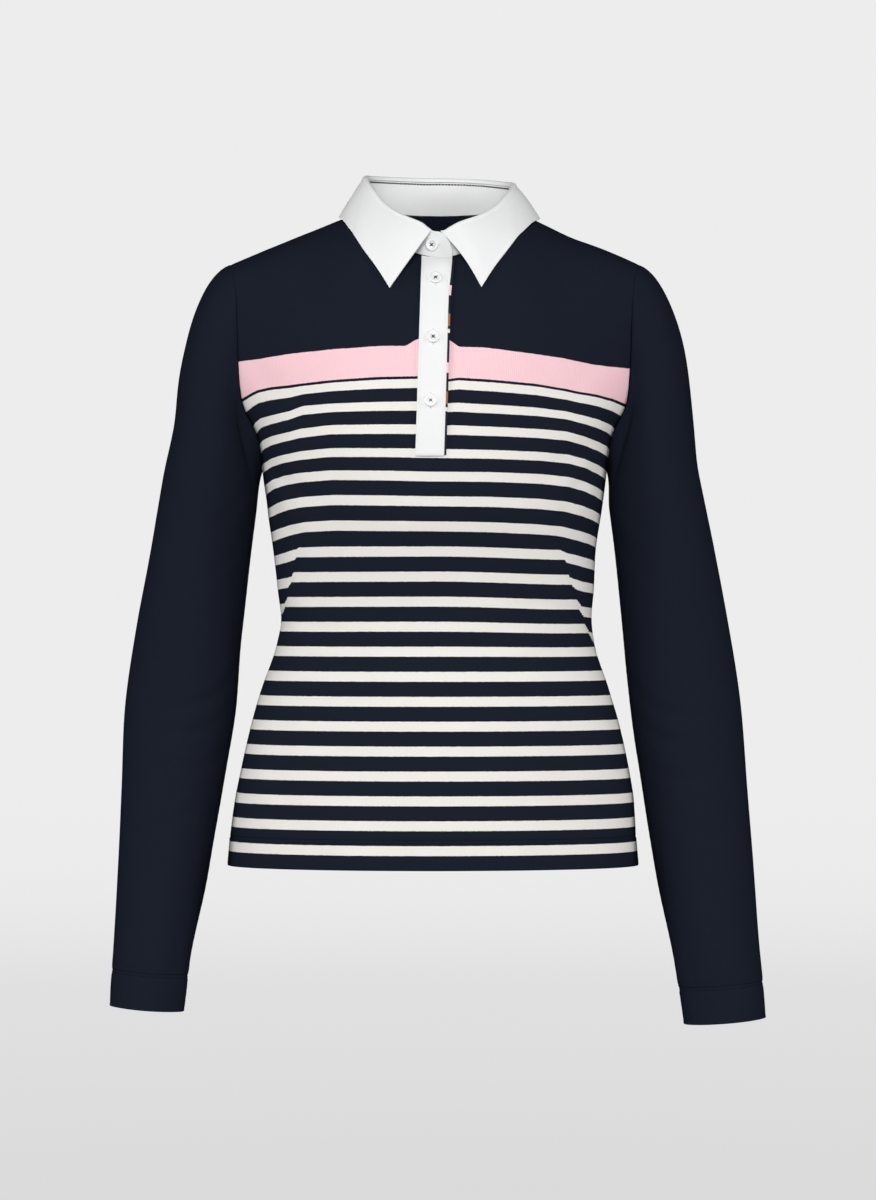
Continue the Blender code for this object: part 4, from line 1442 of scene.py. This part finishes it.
def placket_form(x, share, off=LIFT):
    x += FLARE * max(2 * x / PLACKET_WIDTH, 0.0) * ease((share - 0.78) / 0.22)
    x += mix(PLACKET_FOOT_X, PLACKET_TOP_X, share)
    top = neck_line(neck_turn(x)).z - PLACKET_TOP_GAP
    return on_front(x, mix(PLACKET_FOOT, top, share), off)


SIDE_STITCH = 1.9       # edge stitches lie this far inside the band's edges


def placket_relief(point, x, share):
    inside = PLACKET_WIDTH / 2 - abs(x)
    above = share * PLACKET_LENGTH
    push = 0.15 * uneven(point, 26, 3.1)
    push -= 0.3 * dent(inside, 0.8) + 0.12 * dent(inside - SIDE_STITCH, 0.6)
    return push - 0.3 * dent(above, 0.9)


placket_cloth = cut_cloth(
    "placket_cloth", steps(-PLACKET_WIDTH / 2, PLACKET_WIDTH / 2, 24), steps(0, 1, 92),
    placket_form, lambda point, x, share: (x, share * PLACKET_LENGTH),
    placket_relief, white_cotton, BAND_WALL, outward=True, soft_edge=0.45)
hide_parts("placket_over")

reach = CUT_OUT - UNDER_INSET
facing_climbs = [climb for climb in climbs if climb > GAP_FOOT + 0.004]
facing_cloth = cut_cloth(
    "facing_cloth", steps(-reach, reach, 12), facing_climbs,
    lambda across, climb: body_form(-1, across, climb) + Vector((0, -0.3, 0)),
    lambda point, across, climb: (across * HALF_PANEL, -point.z),
    lambda point, across, climb: 0.1 * uneven(point, 20, 7.7), facing_cotton, WALL)
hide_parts("placket_under")

SLIVER = 1.9            # the facing's folded edge shows this far beside the band
edge_cloth = cut_cloth(
    "facing_edge_cloth", steps(PLACKET_WIDTH / 2 - 3, PLACKET_WIDTH / 2 + SLIVER, 6),
    steps(0.004, 0.985, 92), lambda x, share: placket_form(x, share, 0.05),
    lambda point, x, share: (x, -point.z),
    lambda point, x, share: -0.35 * dent(PLACKET_WIDTH / 2 + SLIVER - x, 0.5),
    facing_cotton, 0.8, outward=True)

# %% [markdown]
# ## Buttons
#
# A shirt button is turned: a disc with a rounded rim and a shallow dish, then four
# holes.  We spin the profile and cut the holes with a boolean, whose cutters are
# thrown away after use.  Navy thread crosses between the holes.

# %% Buttons
BUTTON_PROFILE = [(0.0, 1.55), (2.5, 1.55), (3.2, 1.72), (3.75, 2.12), (4.2, 2.24), (4.75, 2.22),
                  (5.3, 1.98), (5.62, 1.5), (5.7, 1.05), (5.5, 0.45), (4.9, 0.05), (4.5, 0.0),
                  (0.0, 0.0)]
HOLE_RADIUS = 0.62
HOLE_OUT = 1.15         # from the button's middle, both ways


def spun_button(name):
    work = spun([(r * MM, z * MM) for r, z in BUTTON_PROFILE], 48)
    return new_object(name, mesh_from(work, name), [button_resin])


def drill_holes(button):
    work = bmesh.new()
    for x in (-HOLE_OUT, HOLE_OUT):
        for y in (-HOLE_OUT, HOLE_OUT):
            bmesh.ops.create_cone(work, cap_ends=True, segments=14, depth=6 * MM,
                                  radius1=HOLE_RADIUS * MM, radius2=HOLE_RADIUS * MM,
                                  matrix=Matrix.Translation((x * MM, y * MM, 1 * MM)))
    drill = new_object("drill", mesh_from(work, "drill", smooth=False), [button_resin])
    cut = button.modifiers.new("holes", "BOOLEAN")
    cut.object = drill
    cut.solver = "EXACT"
    drilled = bpy.data.meshes.new_from_object(
        button.evaluated_get(bpy.context.evaluated_depsgraph_get()))
    button.modifiers.clear()
    button.data = drilled
    bpy.data.objects.remove(drill, do_unlink=True)


def turned_to(normal, point):
    """A matrix that stands a flat piece on a point of the cloth."""
    turn = normal.to_track_quat("Z", "Y").to_matrix().to_4x4()
    return Matrix.Translation(point * MM) @ turn


def button_places():
    low, high = (stand_form(neck_turn(STAND_BUTTON.x), share) for share in (0, 1))
    share = (STAND_BUTTON.height - low.z) / (high.z - low.z)
    turn = neck_turn(STAND_BUTTON.x)
    along = stand_form(turn + 2, share) - stand_form(turn - 2, share)
    yield STAND_BUTTON, stand_form(turn, share), along.cross(high - low).normalized()
    for button in PLACKET_BUTTONS:
        across, climb = front_place(button.x, button.height)
        yield (button, on_front(button.x, button.height, LIFT + BAND_WALL),
               front_normal(across, climb))


# %% [markdown]
# ## Stitches
#
# A stitch is a short piece of thread that dips into the cloth at both ends.  A small
# round-ended bead, stretched along the seam, reads as one.  A row of them follows
# any path that gives a point and the way that faces out.

# %% Rows of stitches
def add_stitch(work, middle, way, out, length, thickness):
    side = out.cross(way).normalized() * thickness / 2
    matrix = Matrix.Identity(4)
    for column, axis in enumerate((way * length / 2, side, out * thickness / 2)):
        for row in range(3):
            matrix[row][column] = axis[row] * MM
    for row in range(3):
        matrix[row][3] = middle[row] * MM
    bmesh.ops.create_uvsphere(work, u_segments=6, v_segments=4, radius=1.0,
                              matrix=matrix @ Matrix.Rotation(math.pi / 2, 4, "Y"))


def sew(work, path, pitch, length, thickness):
    """Stitches at a steady pitch along a path of (point, normal) pairs."""
    travelled, following = 0.0, pitch / 2
    for (point, normal), (further, _) in zip(path, path[1:]):
        span = (further - point).length
        while span > 0 and travelled + span >= following:
            share = (following - travelled) / span
            add_stitch(work, point.lerp(further, share), (further - point).normalized(),
                       normal, length, thickness)
            following += pitch
        travelled += span


def on_cloth(form, relief, across, along, off, facing=1):
    """A point off a cloth piece, with its relief, and the way out."""
    point = form(across, along)
    step = 0.003
    right = form(across + step, along) - form(across - step, along)
    up = form(across, along + step) - form(across, along - step)
    normal = right.cross(up).normalized() * facing
    return point + normal * (relief(point, across, along) + off), normal


def thread_piece(name, work, finish):
    bmesh.ops.recalc_face_normals(work, faces=work.faces)
    piece = new_object(name, mesh_from(work, name), [finish])
    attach(piece, "root")
    print(name, len(piece.data.polygons), "faces")
    return piece


# %% [markdown]
# ### Buttons sewn on, and their buttonholes
#
# A buttonhole is a slit edged with close stitches.  The collar's lies level, because
# the pull there is sideways, and the others stand upright along the band.  Each
# button covers most of its own.

# %% Sewing on the buttons
HOLE_HALF_LENGTH = 7.2
HOLE_HALF_WIDTH = 0.75
HOLE_STITCHES = 44
button_thread = bmesh.new()
hole_thread = bmesh.new()
for button, point, normal in button_places():
    piece = spun_button(button.name + "_turned")
    drill_holes(piece)
    seat = turned_to(normal, point + normal * BUTTON_SEAT)
    piece.data.transform(seat)
    piece.data.shade_smooth()
    sharp = piece.modifiers.new("crisp", "EDGE_SPLIT")
    sharp.split_angle = math.radians(48)
    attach(piece, "root")
    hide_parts(button.name)
    across = seat.to_3x3() @ Vector((1, 0, 0))
    upward = seat.to_3x3() @ Vector((0, 1, 0))
    top = point + normal * BUTTON_TOP
    for lean in (-1, 1):
        way = (across + upward * lean).normalized()
        add_stitch(button_thread, top + normal * 0.12 * lean, way, normal, 4.3, 0.95)
    long, short = (across, upward) if button is STAND_BUTTON else (upward, across)
    for i in range(HOLE_STITCHES):
        angle = math.tau * i / HOLE_STITCHES
        off = long * (HOLE_HALF_LENGTH * math.cos(angle))
        off += short * (HOLE_HALF_WIDTH * math.sin(angle))
        add_stitch(hole_thread, point + off + normal * 0.08,
                   (short + long * 0.2 * math.cos(angle)).normalized(), normal, 1.2, 0.24)
thread_piece("button_thread", button_thread, navy_thread)
thread_piece("buttonhole_thread", hole_thread, white_thread)

# %% [markdown]
# ### Hem stitches
#
# Jersey hems are sewn with two needles, three millimetres apart, so that the seam can
# stretch.  The rows go round the body hem and round each cuff.

# %% Twin rows round the hems
TWIN = 3.0
HEM_ROW = (3.1, 2.3, 0.62)          # pitch, length and thickness of the stitches

hem_thread = bmesh.new()
for side, folds, seed in ((-1, FRONT_FOLDS, FRONT_SEED), (1, BACK_FOLDS, BACK_SEED)):
    def form(across, climb, side=side):
        return body_form(side, -side * across, climb)

    def relief(point, across, climb, side=side, folds=folds, seed=seed):
        return body_relief(folds, seed, point, -side * across, climb)

    for height in (HEM_STITCH - TWIN / 2, HEM_STITCH + TWIN / 2):
        climb = height / (CHEST_HEIGHT - HEM_HEIGHT)
        path = [on_cloth(form, relief, across, climb, 0.06) for across in steps(-0.995, 0.995, 300)]
        sew(hem_thread, path, *HEM_ROW)
thread_piece("hem_stitches", hem_thread, navy_thread)

for node, arm, rows in ARMS:
    cuff_thread = bmesh.new()
    length = rows[-1].height - rows[0].height

    def form(place, along, rows=rows, arm=arm):
        return sleeve_form(rows, arm, place, along)

    def relief(point, place, along, arm=arm, cuff=rows[0].height):
        return sleeve_relief(arm, cuff, point, place, along)

    for height in (SLEEVE_HEM - TWIN / 2, SLEEVE_HEM + TWIN / 2):
        path = [on_cloth(form, relief, place, 2 - height / length, 0.05, facing=-arm)
                for place in steps(0.01, 1.99, 200)]
        sew(cuff_thread, path, *HEM_ROW)
    thread_piece(node + "_stitches", cuff_thread, navy_thread)

# %% [markdown]
# ### White stitches
#
# The placket band is edge-stitched on three sides, and a row inside the neck joins
# leaf and stand.  White thread on white cloth shows only by its small shadows.  The
# row in the neck is given a thick bead of near-black thread instead: painted shade,
# which draws the shadow line under the fold.

# %% Placket and collar stitches
PLACKET_ROW = (2.6, 1.9, 0.3)
# The neck row's thick, near-black bead is painted shade under the fold.
COLLAR_ROW = (2.8, 2.4, 1.7)

placket_thread = bmesh.new()
side_x = PLACKET_WIDTH / 2 - SIDE_STITCH
outline = [(-side_x, share) for share in steps(0.985, 0.012, 160)]
outline += [(x, 0.012) for x in steps(-side_x, side_x, 20)[1:]]
outline += [(side_x, share) for share in steps(0.012, 0.985, 160)[1:]]
path = [on_cloth(placket_form, placket_relief, x, share, BAND_WALL + 0.02) for x, share in outline]
sew(placket_thread, path, *PLACKET_ROW)
thread_piece("placket_stitches", placket_thread, white_thread)

collar_thread = bmesh.new()
path = []
for turn in steps(-40, -320, 280):
    low, high = stand_form(turn, 0.0), stand_form(turn, 1.0)
    inward = Vector((NECK_CENTRE - high.x, -high.y, 0)).normalized()
    path.append((high + Vector((0, 0, -1.6)) + inward * (BAND_WALL + 0.08), inward))
sew(collar_thread, path, *COLLAR_ROW)
thread_piece("collar_stitches", collar_thread, neck_shade_thread)

# %% [markdown]
# ## Listing the cloth
#
# Each sheet is listed with the size it was cut to and the piece it rests on.  The
# cut of a panel or a sleeve isn't a rectangle, so its flat area is given too.

# %% Listing the sheets
Cut = namedtuple("Cut", "piece width length area rests_on")
CUTS = [
    Cut(front_cloth, 0.480, 0.620, 0.245, stand_cloth),
    Cut(back_cloth, 0.480, 0.640, 0.262, stand_cloth),
    Cut(sleeves[-1], 0.330, 0.660, 0.165, front_cloth),
    Cut(sleeves[1], 0.330, 0.670, 0.168, front_cloth),
    Cut(stand_cloth, 0.430, 0.032, 0.0105, front_cloth),
    Cut(leaf_cloth, 0.480, 0.075, 0.0300, stand_cloth),
    Cut(placket_cloth, 0.0242, 0.175, 0.0042, front_cloth),
    Cut(facing_cloth, 0.024, 0.160, 0.0036, front_cloth),
]
print("cloth in all:", round(sum(cut.area for cut in CUTS), 3), "square metres")
